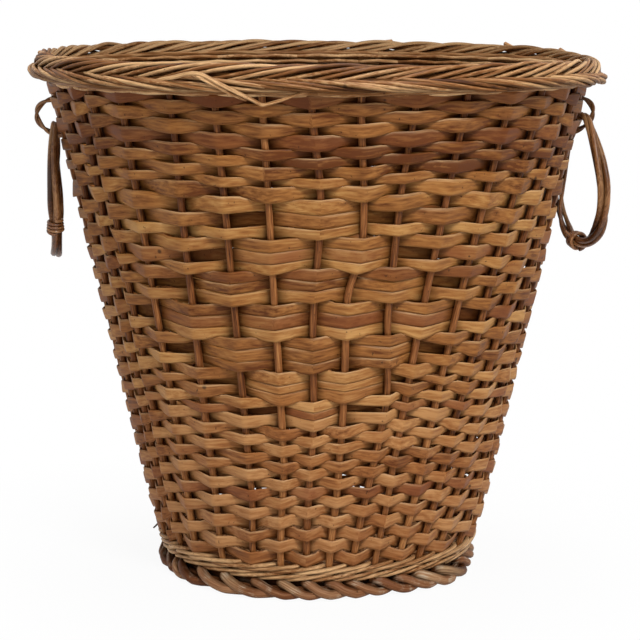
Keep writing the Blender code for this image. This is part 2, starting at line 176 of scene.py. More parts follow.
class Nodes:
    """The nodes of a material or of the world, made and joined in short calls."""

    def __init__(self, tree: bpy.types.NodeTree) -> None:
        """Empty the tree and keep it."""
        tree.nodes.clear()
        self.tree = tree

    def add(self, kind: str, inputs: Inputs | None = None, **settings: object) -> bpy.types.Node:
        """Add a node.

        Args:
            kind: its type, without the first word that all of them share.
            inputs: a number, a colour or another node's output for each input, by name or place.
            settings: its own settings.

        Returns:
            The new node.
        """
        node = self.tree.nodes.new(f"ShaderNode{kind}")
        for key, setting in settings.items():
            setattr(node, key, setting)
        for key, given in (inputs or {}).items():
            if isinstance(given, Socket):
                self.tree.links.new(given, node.inputs[key])
            else:
                node.inputs[key].default_value = given
        return node

    def mark(self, name: str) -> Socket:
        """A mark of the mesh."""
        return self.add("Attribute", attribute_name=name).outputs["Fac"]

    def maths(self, operation: str, first: object, second: object, clamp: bool = False) -> Socket:
        """One step of arithmetic."""
        return self.add("Math", {0: first, 1: second}, operation=operation, use_clamp=clamp).outputs[0]

    def times(self, first: object, second: object) -> Socket:
        """A product."""
        return self.maths("MULTIPLY", first, second)

    def plus(self, first: object, second: object) -> Socket:
        """A sum."""
        return self.maths("ADD", first, second)

    def noise(self, vector: Socket, scale: float, detail: float) -> Socket:
        """Cloudy noise from 0 to 1."""
        inputs = {"Vector": vector, "Scale": scale, "Detail": detail, "Roughness": 0.55}
        return self.add("TexNoise", inputs, noise_dimensions="3D").outputs["Fac"]

    def spread(self, given: Socket, low: float, high: float, bottom: float = 0.0, top: float = 1.0) -> Socket:
        """What runs from low to high, made to run from bottom to top."""
        inputs = {"Value": given, "From Min": low, "From Max": high, "To Min": bottom, "To Max": top}
        return self.add("MapRange", inputs, clamp=True).outputs["Result"]

    def mix(self, share: object, first: object, second: object, blend: str = "MIX") -> Socket:
        """The first colour with a share of the second mixed in."""
        return self.add("Mix", {0: share, 6: first, 7: second}, data_type="RGBA", blend_type=blend).outputs[2]

    def seen_directly(self) -> Socket:
        """What tells things seen from plain light.

        Returns:
            1 for what the camera sees, also by way of a shiny or clear surface, and 0 for plain light.
        """
        rays = self.add("LightPath").outputs
        glossy = self.maths("MAXIMUM", rays["Is Camera Ray"], rays["Is Glossy Ray"])
        return self.maths("MAXIMUM", glossy, rays["Is Transmission Ray"])


@dataclass(frozen=True)
class Willow:
    """Peeled and stained willow: long fibres, mottled colour, dark specks and a satin surface."""

    name: str
    deep: Colour
    mid: Colour
    pale: Colour
    ruddy: Colour
    # Dark colour of specks and knots, and of the painted shade in crevices
    dark_speck_and_shade: Colour = (34, 13, 2)
    # Pale colour of the painted highlights on the strips' upper edges, and of the pale patches on the foot's
    # rods
    cut: Colour = (214, 178, 134)
    scuff: Colour = (205, 186, 160)
    roughness: float = 0.50
    gloss: float = 0.16
    scuffs: float = 0.0
    grain: float = 1.0
    # How fast the colour changes along and across the fibres, and from one blotch to the next, for each metre
    grain_along: float = 70.0
    grain_across: float = 1300.0
    speck_along: float = 480.0
    speck_across: float = 800.0
    blotches: float = 34.0
    scuff_scale: float = 120.0
    fibre_height: float = 0.0004
    # How fast wide streaks change, as a share of thin ones, and how far apart the noise of two tones lies
    broad_share: float = 0.3
    tone_gap: float = 23.0
    # What a rosy place's colour is multiplied by
    rosy_tint: tuple[float, float, float, float] = (0.97, 0.88, 1.12, 1.0)

    @cached_property
    def material(self) -> bpy.types.Material:
        """The finish as a material, made when it is first used.

        Returns:
            The material.
        """
        made = bpy.data.materials.new(self.name)
        made.use_nodes = True
        nodes = Nodes(made.node_tree)
        fine = self._fibres(nodes, self.grain_along, self.grain_across, 3.0)
        share = self.broad_share
        broad = self._fibres(nodes, self.grain_along * share, self.grain_across * share, 2.0)
        # Painted shade: this mark darkens the colour in crevices and takes the sheen away there
        hidden = nodes.mark("hidden")
        shine = nodes.times(nodes.maths("SUBTRACT", 1.0, hidden, True), self.gloss)
        relief = nodes.plus(nodes.times(fine, 0.5), nodes.times(broad, 0.8))
        bump = nodes.add("Bump", {"Strength": 0.5, "Distance": self.fibre_height, "Height": relief})
        surface = nodes.add("BsdfPrincipled", {
            "Base Color": self._colour(nodes, fine, broad, hidden),
            "Roughness": nodes.spread(fine, 0.3, 0.7, self.roughness - 0.08, self.roughness + 0.12),
            "Specular IOR Level": shine,
            "Normal": bump.outputs[0],
        })
        nodes.add("OutputMaterial", {"Surface": surface.outputs[0]})
        return made

    def _fibres(self, nodes: Nodes, along: float, across: float, detail: float) -> Socket:
        """Noise drawn out along the fibres, different for each tone.

        Args:
            nodes: the material's nodes.
            along, across: how fast it changes, for each metre.
            detail: how much fine detail it has.

        Returns:
            Values from 0 to 1.
        """
        split = nodes.add("SeparateXYZ", {0: nodes.add("UVMap", uv_map="Fibre").outputs["UV"]}).outputs
        layer = nodes.times(nodes.mark("tone"), self.tone_gap)
        spot = {0: nodes.times(split[0], along), 1: nodes.times(split[1], across), 2: layer}
        return nodes.noise(nodes.add("CombineXYZ", spot).outputs[0], 1.0, detail)

    def _colour(self, nodes: Nodes, fine: Socket, broad: Socket, hidden: Socket) -> Socket:
        """The stained colour with its blushes, specks, knots, pale patches and scuffs, with painted highlights
        on edges and painted shade in crevices.

        Args:
            nodes: the material's nodes.
            fine, broad: thin and wide streaks.
            hidden: how much painted shade a place gets, deep in a crevice.

        Returns:
            The colour.
        """
        place = nodes.add("TexCoord").outputs["Object"]
        patch = nodes.noise(place, self.blotches, 2.0)
        streaks = nodes.plus(nodes.times(fine, 0.60 * self.grain), nodes.times(broad, 0.20 * self.grain))
        shade = nodes.plus(streaks, 0.45 - 0.40 * self.grain)
        for given, middle, share in ((nodes.mark("tone"), 0.3, 0.30), (patch, 0.5, 0.14)):
            shade = nodes.plus(shade, nodes.times(nodes.maths("SUBTRACT", given, middle), share))
        deep, dark_speck_and_shade = linear(*self.deep), linear(*self.dark_speck_and_shade)
        ramp = nodes.add("ValToRGB", {0: shade})
        stops = ramp.color_ramp.elements
        stops[0].position, stops[0].color = 0.34, deep
        stops[1].position, stops[1].color = 0.67, linear(*self.pale)
        stops.new(0.50).color = linear(*self.mid)
        blush = nodes.times(nodes.spread(nodes.mark("blush"), 0, 1), nodes.spread(patch, 0.30, 0.62, 0.45, 1))
        colour = nodes.mix(blush, ramp.outputs[0], nodes.mix(shade, deep, linear(*self.ruddy)))
        colour = nodes.mix(nodes.mark("rosy"), colour, self.rosy_tint, "MULTIPLY")
        speck = self._fibres(nodes, self.speck_along, self.speck_across, 1.0)
        colour = nodes.mix(nodes.spread(speck, 0.71, 0.79, 0, 0.7), colour, dark_speck_and_shade)
        knots = nodes.add("TexVoronoi", {"Scale": self.blotches, "Vector": place}).outputs["Distance"]
        colour = nodes.mix(nodes.spread(knots, 0.03, 0.06, 0.8, 0), colour, dark_speck_and_shade)
        # Pale places: painted highlights on the strips' upper edges, and pale patches on the foot's rods
        pale_share = nodes.times(nodes.mark("cut"), nodes.spread(fine, 0.35, 0.60, 0.3, 1))
        colour = nodes.mix(pale_share, colour, linear(*self.cut))
        if self.scuffs:
            rubbed = nodes.spread(nodes.noise(place, self.scuff_scale, 3.0), 0.52, 0.66)
            wear_and_highlight = nodes.times(rubbed, nodes.spread(fine, 0.42, 0.60, 0, self.scuffs))
            colour = nodes.mix(wear_and_highlight, colour, linear(*self.scuff))
        # Painted shade: crevices, rod sides and inner faces are darkened towards the dark colour
        return nodes.mix(nodes.times(hidden, 0.80), colour, dark_speck_and_shade)


STAKE_FINISH = Willow("Stake willow", (76, 38, 12), (140, 86, 44), (182, 126, 74), (120, 62, 32))
STRIP_FINISH = Willow("Strip willow", (92, 46, 10), (155, 101, 48), (196, 148, 86), (142, 78, 42), grain=0.74)
RIM_FINISH = Willow(
    "Rim willow", (68, 34, 8), (148, 96, 50), (236, 190, 136), (122, 66, 30), gloss=0.24, grain=0.70,
)
FOOT_FINISH = Willow(
    "Foot willow", (66, 34, 14), (138, 86, 50), (200, 154, 112), (120, 66, 36),
    scuffs=0.8, roughness=0.55, grain=0.75,
)
BASE_FINISH = Willow(
    "Base willow", (90, 56, 30), (144, 98, 58), (180, 132, 86), (122, 70, 40), roughness=0.55,
)
HANDLE_FINISH = Willow(
    "Handle willow", (60, 32, 12), (130, 82, 44), (200, 150, 100), (112, 60, 32),
    roughness=0.36, gloss=0.45, grain=0.80,
)


class Piece:
    """A piece in the making: rods and strips are added to it, and then it is placed on the frame.

    Their points have marks that the finish reads: tone, painted shade where a point lies deep in a crevice,
    blush, paleness that on the strips' upper edges is a painted highlight, and how rosy it is.
    """

    # How far apart the fibre coordinates of two rods start
    fibre_shift: float = 0.731
    # Rings that close an open end: how wide they are and how far out, as shares of the radius
    end_rings: Pairs = ((0.72, 0.28), (0.02, 0.38))

    def __init__(self, name: str, around: float) -> None:
        """Start an empty piece.

        Args:
            name: its name.
            around: distance round its rods or strips, for the fibre coordinates.
        """
        self.name, self.around = name, around
        self.verts: list[Array] = []
        self.faces: list[Array] = []
        self.fibres: list[Array] = []
        self.marks: dict[str, list[Array]] = {}

    def rod(
        self, path: Array, radius: Values, away: Array, closed: bool, sides: int = 8, **marks: Values
    ) -> None:
        """Add a round rod.

        Args:
            path: its centre line.
            radius: one for all of it, or one for each point.
            away: a direction, or one for each point, never along the path.
            closed: whether the path joins up.
            sides: points round the rod.
            marks: as for a strip.
        """
        forward = tangents(path, closed)
        away = np.broadcast_to(away, path.shape)
        out = unit(away - forward * (away * forward).sum(1, keepdims=True))
        aside = np.cross(forward, out)
        angles = (TAU * np.arange(sides) / sides)[None, :, None]
        section = np.cos(angles) * out[:, None] + np.sin(angles) * aside[:, None]
        radius = np.broadcast_to(radius, len(path))[:, None, None]
        self.strip(path[:, None] + radius * section, closed, **marks)

    def arc(
        self, bearing: Array, reach: Values, height: Values, radius: Values,
        closed: bool = True, sides: int = 8, **marks: Values,
    ) -> None:
        """Add a round rod by its bearings, distances from the axis and heights."""
        self.rod(polar(bearing, reach, height), radius, outwards(bearing), closed, sides, **marks)

    def strip(self, rings: Array, closed: bool, **marks: Values) -> None:
        """Add a rod or strip of any section.

        Args:
            rings: its sections, as points of shape (along, round, 3).
            closed: whether the last section joins the first. Open ones get rounded ends.
            marks: by name, one value for all of it, one for each section or one for each point.
        """
        spare = len(self.end_rings)
        for key, given in marks.items():
            values = np.asarray(given, float)
            values = np.broadcast_to(values if values.ndim == 2 else values[..., None], rings.shape[:2])
            values = values if closed else np.pad(values, ((spare, spare), (0, 0)), "edge")
            self.marks.setdefault(key, []).append(values.ravel())
        rings = rings if closed else self._capped(rings)
        along, across = rings.shape[:2]
        near, side = np.meshgrid(np.arange(along if closed else along - 1), np.arange(across), indexing="ij")
        far, next_side = (near + 1) % along, (side + 1) % across
        corners = (near, side), (far, side), (far, next_side), (near, next_side)
        faces = np.stack([ring * across + place for ring, place in corners], -1).reshape(-1, 4)
        steps = np.linalg.norm(np.diff(rings.mean(1), axis=0), axis=1)
        run = np.concatenate([[0.0], np.cumsum(steps)]) + self.fibre_shift * len(self.verts)
        start = run[near]
        end = start + np.where(near + 1 < along, run[far] - start, run[1] - run[0])
        step = self.around / across
        low, high = side * step, (side + 1) * step
        fibres = np.stack([start, low, end, low, end, high, start, high], -1).reshape(-1, 4, 2)
        verts = rings.reshape(-1, 3)
        if self._inside_out(verts, faces):
            faces, fibres = faces[:, ::-1], fibres[:, ::-1]
        self.faces.append(faces + sum(map(len, self.verts)))
        self.fibres.append(fibres.reshape(-1, 2))
        self.verts.append(verts)

    def _capped(self, rings: Array) -> Array:
        """Close both ends of an open rod or strip.

        Args:
            rings: its sections.

        Returns:
            The sections, with more at both ends that close to a point.
        """
        ends = []
        for ring, inner in ((rings[0], rings[1]), (rings[-1], rings[-2])):
            middle = ring.mean(0)
            size = np.linalg.norm(ring - middle, axis=1).max()
            out = unit(middle - inner.mean(0))
            ends.append([middle + (ring - middle) * wide + out * size * far for wide, far in self.end_rings])
        return np.concatenate([np.stack(ends[0][::-1]), rings, np.stack(ends[1])])

    @staticmethod
    def _inside_out(verts: Array, faces: Array) -> bool:
        """Whether the faces look inwards."""
        a, b, c, d = (verts[faces[:, corner]] for corner in range(4))
        return float(np.einsum("ij,ij->", a - verts.mean(0), np.cross(c - a, d - b))) < 0

    def _mesh(self) -> bpy.types.Object:
        """Make the mesh, with its fibre coordinates and marks.

        Returns:
            The object.
        """
        verts, faces = np.vstack(self.verts), np.vstack(self.faces)
        data = bpy.data.meshes.new(self.name)
        data.vertices.add(len(verts))
        data.vertices.foreach_set("co", verts.astype(np.float32).ravel())
        data.loops.add(faces.size)
        data.loops.foreach_set("vertex_index", faces.astype(np.int32).ravel())
        data.polygons.add(len(faces))
        data.polygons.foreach_set("loop_start", np.arange(0, faces.size, 4, dtype=np.int32))
        data.polygons.foreach_set("loop_total", np.full(len(faces), 4, np.int32))
        layer = data.uv_layers.new(name="Fibre")
        layer.data.foreach_set("uv", np.vstack(self.fibres).astype(np.float32).ravel())
        for mark, values in self.marks.items():
            attribute = data.attributes.new(mark, "FLOAT", "POINT")
            attribute.data.foreach_set("value", np.concatenate(values).astype(np.float32))
        data.update(calc_edges=True)
        data.shade_smooth()
        made = bpy.data.objects.new(self.name, data)
        bpy.context.scene.collection.objects.link(made)
        return made

    def place(self, body: Body, slot: Slot, finish: Willow, *nodes: str) -> None:
        """Make the mesh, dress it and fix it to the frame.

        Args:
            body: what it moves with.
            slot: the record's slot for its finish. It is not used.
            finish: the willow it is made of.
            nodes: the frame's nodes that it stands for.
        """
        piece = self._mesh()
        piece.data.materials.append(finish.material)
        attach(piece, body.value)
        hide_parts(*nodes)
        log.info("%s: %d faces on %s", piece.name, len(piece.data.polygons), body.value)


@dataclass(frozen=True)
class Wall:
    """The leaning, slightly twisted wall that everything is woven over."""

    stake_count: int = 36
    stake_radius: float = 0.0021
    # Reach of the stakes' circle on the floor and at the top, the top's height, how far the wall twists on
    # its way up, and how far each stake sways
    foot_reach: float = 0.0955
    mouth_reach: float = 0.1644
    top: float = 0.3060
    twist: float = math.radians(-7)
    sway: float = math.radians(0.55)
    # The tuck above the foot, the dent at the right of the foot and how uneven the rest is
    foot_top: float = 0.010
    tuck: float = 0.0026
    tuck_height: float = 0.016
    dent: float = 0.003
    dent_height: float = 0.010
    dent_bearing: float = math.radians(80)
    dent_width: float = 0.4
    uneven: float = 0.0006
    # Stakes that stray from their even places: height and bearing in degrees
    strays: tuple[tuple[int, Pairs], ...] = (
        (-5, ((0.024, -60.5), (0.060, -57.5), (0.296, -53.7))),
        (-4, ((0.024, -49.0), (0.060, -46.7), (0.296, -43.6))),
        (-3, ((0.024, -36.0), (0.060, -34.3), (0.296, -30.5))),
        (-2, ((0.024, -23.0), (0.060, -20.7), (0.296, -20.5))),
        (-1, ((0.024, -12.9), (0.056, -11.3), (0.082, -9.8), (0.150, -10.1), (0.193, -10.4), (0.296, -10.8))),
        (0, (
            (0.024, -4.0), (0.062, -2.9), (0.109, -1.0), (0.175, -1.2), (0.222, 0.4), (0.250, 0.8),
            (0.296, -1.2),
        )),
        (1, (
            (0.024, 3.9), (0.068, 6.0), (0.119, 7.0), (0.197, 7.1), (0.206, 9.4), (0.226, 10.3),
            (0.248, 10.0), (0.296, 8.5),
        )),
        (2, (
            (0.024, 12.2), (0.072, 15.6), (0.094, 17.5), (0.129, 19.4), (0.177, 17.3), (0.252, 18.1),
            (0.296, 19.6),
        )),
        (3, ((0.024, 20.6), (0.057, 22.5), (0.071, 22.9), (0.296, 30.8))),
        (4, ((0.024, 30.0), (0.060, 32.5), (0.296, 41.9))),
        (5, ((0.024, 39.0), (0.060, 41.7), (0.296, 52.0))),
        (6, ((0.024, 49.0), (0.060, 52.1), (0.296, 61.0))),
    )

    @property
    def pitch(self) -> float:
        """Angle from one stake to the next."""
        return TAU / self.stake_count

    def centred(self, station: Values) -> Values:
        """The station counted from the front by the shorter way, negative to the left."""
        half = self.stake_count // 2
        return (station + half) % self.stake_count - half

    def _shares(self, height: Values) -> tuple[Array, Array]:
        """How much of the foot's reach and of the mouth's reach counts at a height."""
        share = np.asarray(height, float) / self.top
        return self.foot_reach * (1 - share), self.mouth_reach * share

    def reach(self, height: Values) -> Array:
        """Distance from the axis to the stakes' circle at a height."""
        foot, mouth = self._shares(height)
        return np.sqrt(foot**2 + mouth**2 + 2 * foot * mouth * math.cos(self.twist))

    def turned(self, height: Values) -> Array:
        """How far the wall has turned at a height, against the rim."""
        foot, mouth = self._shares(height)
        return np.arctan2(foot * math.sin(self.twist), foot * math.cos(self.twist) + mouth)

    def stake_bearing(self, number: int, height: Values) -> Array:
        """Bearing of one stake's centre line at a height.

        Args:
            number: the stake, 0 at the front, to the right. It may be negative.
            height: where on the stake.

        Returns:
            The bearing in radians.
        """
        number = self.centred(number)
        strays = dict(self.strays)
        if number in strays:
            return np.radians(between(strays[number], height))
        sway = ripple(900 + number, np.asarray(height, float) / self.top * math.pi, 1, 3) * self.sway
        return number * self.pitch + self.turned(height) + sway

    def bearing(self, station: Array, height: Values) -> Array:
        """Bearing of any station, between its two neighbouring stakes.

        Args:
            station: where round the wall.
            height: how high.

        Returns:
            Bearings in radians.
        """
        station, height = np.broadcast_arrays(np.asarray(station, float), np.asarray(height, float))
        result = np.zeros(station.shape)
        whole = np.floor(station + 1e-9).astype(int)
        for number in np.unique(whole):
            chosen = whole == number
            first = self.stake_bearing(int(number), height[chosen])
            second = self.stake_bearing(int(number) + 1, height[chosen])
            gap = (second - first + math.pi) % TAU - math.pi
            result[chosen] = first + gap * (station - whole)[chosen]
        return result

    def bulge(self, bearing: Array, height: Array) -> Array:
        """How far the wall stands out from a true cone.

        Args:
            bearing: where round the wall.
            height: how high.

        Returns:
            Distances, negative where it is tucked in or dented.
        """
        rise = height / self.top
        low = np.maximum(height - self.foot_top, 0)
        dent = self.dent * np.exp(-(((bearing - self.dent_bearing) / self.dent_width) ** 2))
        inwards = self.tuck * np.exp(-low / self.tuck_height) + dent * np.exp(-low / self.dent_height)
        waves = ripple(31, bearing, 2, 4) * rise + ripple(32, bearing, 2, 5) * (1 - rise)
        return self.uneven * waves - inwards

    def point(self, station: Array, height: Array, out: Values) -> Array:
        """Points at these stations and heights, which stand this far off the stakes' circle."""
        bearing = self.bearing(station, height)
        return polar(bearing, self.reach(height) + self.bulge(bearing, height) + out, height)

    def lean(self, height: Array) -> Array:
        """The wall's slope outwards, as an angle from upright."""
        step = 0.001
        return np.arctan((self.reach(height + step) - self.reach(height - step)) / (2 * step))


@dataclass
class Stakes:
    """The upright rods."""

    wall: Wall
    low: float = 0.0085
    high: float = 0.3080
    samples: int = 64
    smoothing: int = 5
    waver: float = 0.00025
    # How pale they are: height and tone
    paleness: Pairs = ((0.0, 0.72), (0.12, 0.42), (0.18, 0.34), (0.26, 0.16))

    def build(self) -> None:
        """Make every stake and stand it in its node's place."""
        wall = self.wall
        heights = np.linspace(self.low, self.high, self.samples)
        share = heights / self.high
        for index in range(wall.stake_count):
            padded = np.pad(wall.stake_bearing(index, heights), self.smoothing // 2, mode="edge")
            bearing = np.convolve(padded, np.ones(self.smoothing) / self.smoothing, "valid")
            out = wall.bulge(bearing, heights) + self.waver * ripple(500 + index, share * math.pi, 2, 6)
            reach = wall.reach(heights) + out
            radius = wall.stake_radius * (1.02 + 0.05 * ripple(700 + index, share * math.pi, 1, 5))
            tone = between(self.paleness, heights) + 0.16 * ripple(40 + index, share, 1, 3)
            blush = 0.3 * (index % 3 == 0)
            piece = Piece(f"stake_rod_{index + 1:02d}", TAU * wall.stake_radius)
            piece.arc(bearing, reach, heights, radius, False, tone=tone, hidden=0.0, blush=blush)
            piece.place(Body.BASKET, Slot.STAKE, STAKE_FINISH, f"stake_{index + 1:02d}")


@dataclass
class StripRows:
    """The rows of flat strip, with the stepped diamond panel in the front."""

    wall: Wall
    # How thick a strip is, how far its middle stands off the stakes' circle, how much of that it loses
    # between two stakes that it passes on one side, and how far it sags
    thickness: float = 0.00125
    stand_off: float = 0.0033
    slack: float = 0.10
    sag: float = 0.0012
    # How far the rows wander together and each on its own, the seam between two rows, how far rows that cross
    # overlap, and how far a slit opens
    wander: float = 0.0007
    own_wander: float = 0.00028
    seam: float = 0.00006
    overlap: float = 0.0004
    slit: float = 0.0026
    # How much of a strip's way from stake to stake is eased, and how far it tips to and fro
    ease: float = 0.2
    tip: float = math.radians(5)
    # Between which heights the rows wander, over what height they grow calm, and how much wandering is left
    calm_low: float = 0.024
    calm_high: float = 0.309
    calm_over: float = 0.02
    calm_least: float = 0.2
    # How full the widths below are taken, and how much they vary along a strip
    fullness: float = 1.03
    variation: float = 0.05
    # How far a strip may spread over its neighbours where the rows stand apart
    room: float = 0.004
    # How much wider a strip is outside the stakes, as a share, and how far a border between two rows slants
    swell: float = 0.09
    slant: float = 0.0016
    # Middle height and width of each row, in millimetres, from the bottom up
    rows: Pairs = (
        (26, 7.2), (34.5, 7.0), (41, 7.0), (49.5, 7.2), (56, 6.8), (62.5, 6.8), (68, 6.7),
        (74.5, 6.8), (81, 6.6), (86, 6.4), (91, 6.6), (97.5, 6.6), (103, 6.4), (108, 6.8),
        (114.5, 7.0), (120, 5.0), (125.5, 6.2), (130.5, 7.6), (136, 5.2), (142, 7.5),
        (148.5, 6.0), (155, 8.0), (162, 7.0), (167.5, 7.0), (174.5, 8.2), (181.5, 6.6),
        (189, 6.6), (195.5, 6.2), (202, 7.3), (206.5, 6.6), (213, 7.8), (220, 7.4),
        (227.5, 6.0), (234.5, 8.4), (243.6, 9.0), (251, 8.4), (257.5, 5.4), (263, 7.0),
        (269.5, 5.8), (274.5, 6.4), (281, 8.4), (287.5, 7.5), (294, 7.2), (299, 6.8), (303.5, 7.0),
    )
    # Rows of the panel whose weave is shifted, with how many stakes to each side of the front
    shifted: tuple[tuple[int, int], ...] = ((15, 1), (18, 2), (21, 3), (24, 4), (27, 3), (30, 2), (33, 1))
    ruddy: tuple[int, ...] = (6, 15, 24, 28, 30, 40, 44)
    # How rosy the rows are, and how much paler or darker than the panel: row and value
    rosy: Pairs = ((0, 0.80), (13, 0.60), (20, 0.20), (28, 0.0))
    shading: Pairs = ((0, 0.14), (12, 0.10), (20, 0.02), (31, -0.05), (37, -0.25), (44, -0.35))
    # Small slits beside the stakes: number of the border between two rows, and station
    slits: Pairs = (
        (9, -3.8), (8, -3.6), (13, -2.85), (13, -2.2), (8, -1.8), (8, -0.22), (7, 1.15), (6, 1.8), (14, 1.83),
        (14, 3.3), (42, -3.7), (36, -5.15), (42, -1.8), (40, -4.3), (40, -1.8), (37, -3.83), (40, -3.15),
        (37, -2.2),
    )
    slit_reach: float = 0.14
    slit_share: float = 0.75
    # Above what value of their ripple other slits open
    scattered: float = 0.65
    # How far a strip outside the stakes spreads: row and distance. The upper ones taper to their ends
    lens: Pairs = ((0, 0.0040), (14, 0.0024), (26, 0.0012), (34, 0.0011))
    in_gap: tuple[float, ...] = (0.0, 0.06, 0.15, 0.26, 0.38, 0.50, 0.62, 0.74, 0.85, 0.94)
    # Section of a strip, anticlockwise from its lower edge: shares of the width and of the thickness, how much
    # painted shade darkens its edge, how far it faces outwards, and how much painted highlight its upper edge
    # gets
    section: tuple[tuple[float, ...], ...] = (
        (-0.50, 0.00, 0.70, 0.5, 0.00), (-0.485, 0.36, 0.30, 1.0, 0.00), (-0.30, 0.50, 0.00, 1.0, 0.00),
        (0.30, 0.50, 0.00, 1.0, 0.05), (0.485, 0.36, 0.00, 1.0, 0.55), (0.50, 0.00, 0.00, 0.5, 0.65),
        (0.44, -0.42, 0.00, 0.0, 0.00), (-0.44, -0.42, 0.00, 0.0, 0.00),
    )
    course_tops: tuple[float, ...] = (
        0.0452, 0.0652, 0.0885, 0.1112, 0.1280, 0.1452, 0.1648,
        0.1852, 0.2042, 0.2238, 0.2477, 0.2725, 0.2955, 0.3100,
    )

    def ripples(self, seed: int, turn: Array, low: int, high: int, count: int | None = None) -> Array:
        """A ripple of its own for each row, or for as many as asked, as (rows, stations)."""
        return np.stack([ripple(seed + index, turn, low, high) for index in range(count or len(self.rows))])

    def sides(self) -> Array:
        """On which side of the stakes the rows pass.

        Returns:
            1 where a row passes outside a stake and -1 where it passes inside, as (rows, stakes).
        """
        row, stake = np.meshgrid(np.arange(len(self.rows)), np.arange(self.wall.stake_count), indexing="ij")
        pattern = np.where((row + stake) % 2 == 0, 1.0, -1.0)
        for shifted_row, span in self.shifted:
            pattern[shifted_row][np.abs(self.wall.centred(stake[0])) <= span] *= -1
        return pattern

    def offsets(self, stations: Array) -> Array:
        """How far the rows stand off the stakes' circle.

        Args:
            stations: where round the wall.

        Returns:
            Distances outwards, as (rows, stations).
        """
        pattern = self.sides()
        whole = np.floor(stations + 1e-9).astype(int) % self.wall.stake_count
        share = stations - np.floor(stations + 1e-9)
        first = pattern[:, whole]
        second = pattern[:, (whole + 1) % self.wall.stake_count]
        share = (1 - self.ease) * share + self.ease * (share * share * (3 - 2 * share))
        slack = 1 - self.slack * np.sin(math.pi * (stations % 1.0))
        return self.stand_off * np.where(first == second, first * slack, first + (second - first) * share)

    def heights(self, turn: Array) -> Array:
        """Middle heights of the rows. Neighbouring rows wander together.

        Args:
            turn: where round the wall, as an angle.

        Returns:
            Heights, as (rows, stations).
        """
        middles = np.array([[height] for height, _ in self.rows]) / 1000
        rise = middles / self.wall.top
        shared = sum(
            ripple(60 + layer, turn, 2, 7)[None] * np.cos(math.pi * (layer * rise * 1.6 + 0.37 * layer))
            for layer in range(4)
        )
        calm = np.clip((middles - self.calm_low) / self.calm_over, self.calm_least, 1)
        calm = calm * np.clip((self.calm_high - middles) / self.calm_over, self.calm_least, 1)
        return middles + calm * (self.wander * shared + self.own_wander * self.ripples(80, turn, 5, 16))

    def edges(self, stations: Array, middle: Array, out: Array) -> tuple[Array, Array]:
        """Upper and lower edge of each row: full width where it stands clear, pinched where rows cross.

        Args:
            stations: where round the wall.
            middle: middle heights, as (rows, stations).
            out: stand-offs, as (rows, stations).

        Returns:
            Heights of the upper edges and of the lower edges.
        """
        turn = stations * self.wall.pitch
        width = np.array([[width] for _, width in self.rows]) / 1000
        varied = self.fullness + self.variation * self.ripples(140, turn, 6, 20)
        width = width * (varied + self.swell * out / self.stand_off)
        upper, lower = middle + width / 2, middle - width / 2
        border = middle[:-1] + (middle[1:] - middle[:-1]) * (width[:-1] / (width[:-1] + width[1:]))
        border = border + self.slant * (out[:-1] - out[1:]) / (2 * self.stand_off)
        apart = np.abs(out[1:] - out[:-1])
        free = np.clip((apart - 0.9 * self.thickness) / (2.6 * self.thickness), 0, 1)
        room = free * self.room - self.seam
        open_share = np.clip(self.ripples(440, turn, 8, 30, len(border)) - self.scattered, 0, 1)
        for number, station in self.slits:
            away = self.wall.centred(stations - station) / self.slit_reach
            open_share[number] = np.maximum(open_share[number], self.slit_share * np.exp(-(away**2)))
        hole = self.slit * open_share - self.overlap
        above_is_behind = out[1:] < out[:-1]
        lens = between(self.lens, np.arange(len(border)))[:, None]
        front_room = np.minimum(room, lens * apart / (2 * self.stand_off))
        raised = np.minimum(upper[:-1], border + np.where(above_is_behind, front_room, room))
        lowered = np.maximum(lower[1:], border - np.where(above_is_behind, room, front_room))
        lifted = np.minimum(np.maximum(raised, lowered - hole), border + room)
        dropped = np.maximum(np.minimum(lowered, raised + hole), border - room)
        upper[:-1] = np.where(above_is_behind, raised, lifted)
        lower[1:] = np.where(above_is_behind, dropped, lowered)
        return upper, lower

    def build(self) -> None:
        """Weave every row, each standing for the course of the frame that it lies in."""
        stations = (np.arange(self.wall.stake_count)[:, None] + np.array(self.in_gap)).ravel()
        turn = stations * self.wall.pitch
        out = self.offsets(stations)
        middle = self.heights(turn)
        middle = middle - self.sag * (1.5 - 0.8 * middle / self.wall.top) * out / self.stand_off
        upper, lower = self.edges(stations, middle, out)
        # How far each point lies in behind the stakes, which sets the painted shade there
        depth = np.clip(-(0.30 + out / self.stand_off) / 0.70, 0, 1)
        for index, (height, width) in enumerate(self.rows):
            piece = Piece(f"strip_row_{index + 1:02d}", 2.2 * width / 1000)
            rings = self._rings(index, stations, out[index], upper[index], lower[index])
            piece.strip(rings, True, **self._marks(index, stations, depth[index][:, None]))
            course = np.searchsorted(self.course_tops, height / 1000, "right") + 1
            piece.place(Body.BASKET, Slot.STRIP, STRIP_FINISH, f"weave_course_{course:02d}")

    def _rings(self, index: int, stations: Array, out: Array, upper: Array, lower: Array) -> Array:
        """Sections of one row.

        Args:
            index: the row.
            stations: where round the wall.
            out: stand-offs.
            upper, lower: heights of its edges.

        Returns:
            Points of shape (stations, section, 3).
        """
        middle, half = (upper + lower) / 2, (upper - lower) / 2
        lean = self.wall.lean(middle)
        tilt = lean + self.tip * ripple(200 + index, stations * self.wall.pitch, 4, 14)
        spots = []
        for along, through, *_ in self.section:
            up, thick = 2 * along * half, through * self.thickness
            height = middle + up * np.cos(tilt) / np.cos(lean) - thick * np.sin(tilt)
            far = out + up * np.sin(tilt - lean) + thick * np.cos(tilt)
            spots.append(self.wall.point(stations, height, far))
        return np.stack(spots, 1)

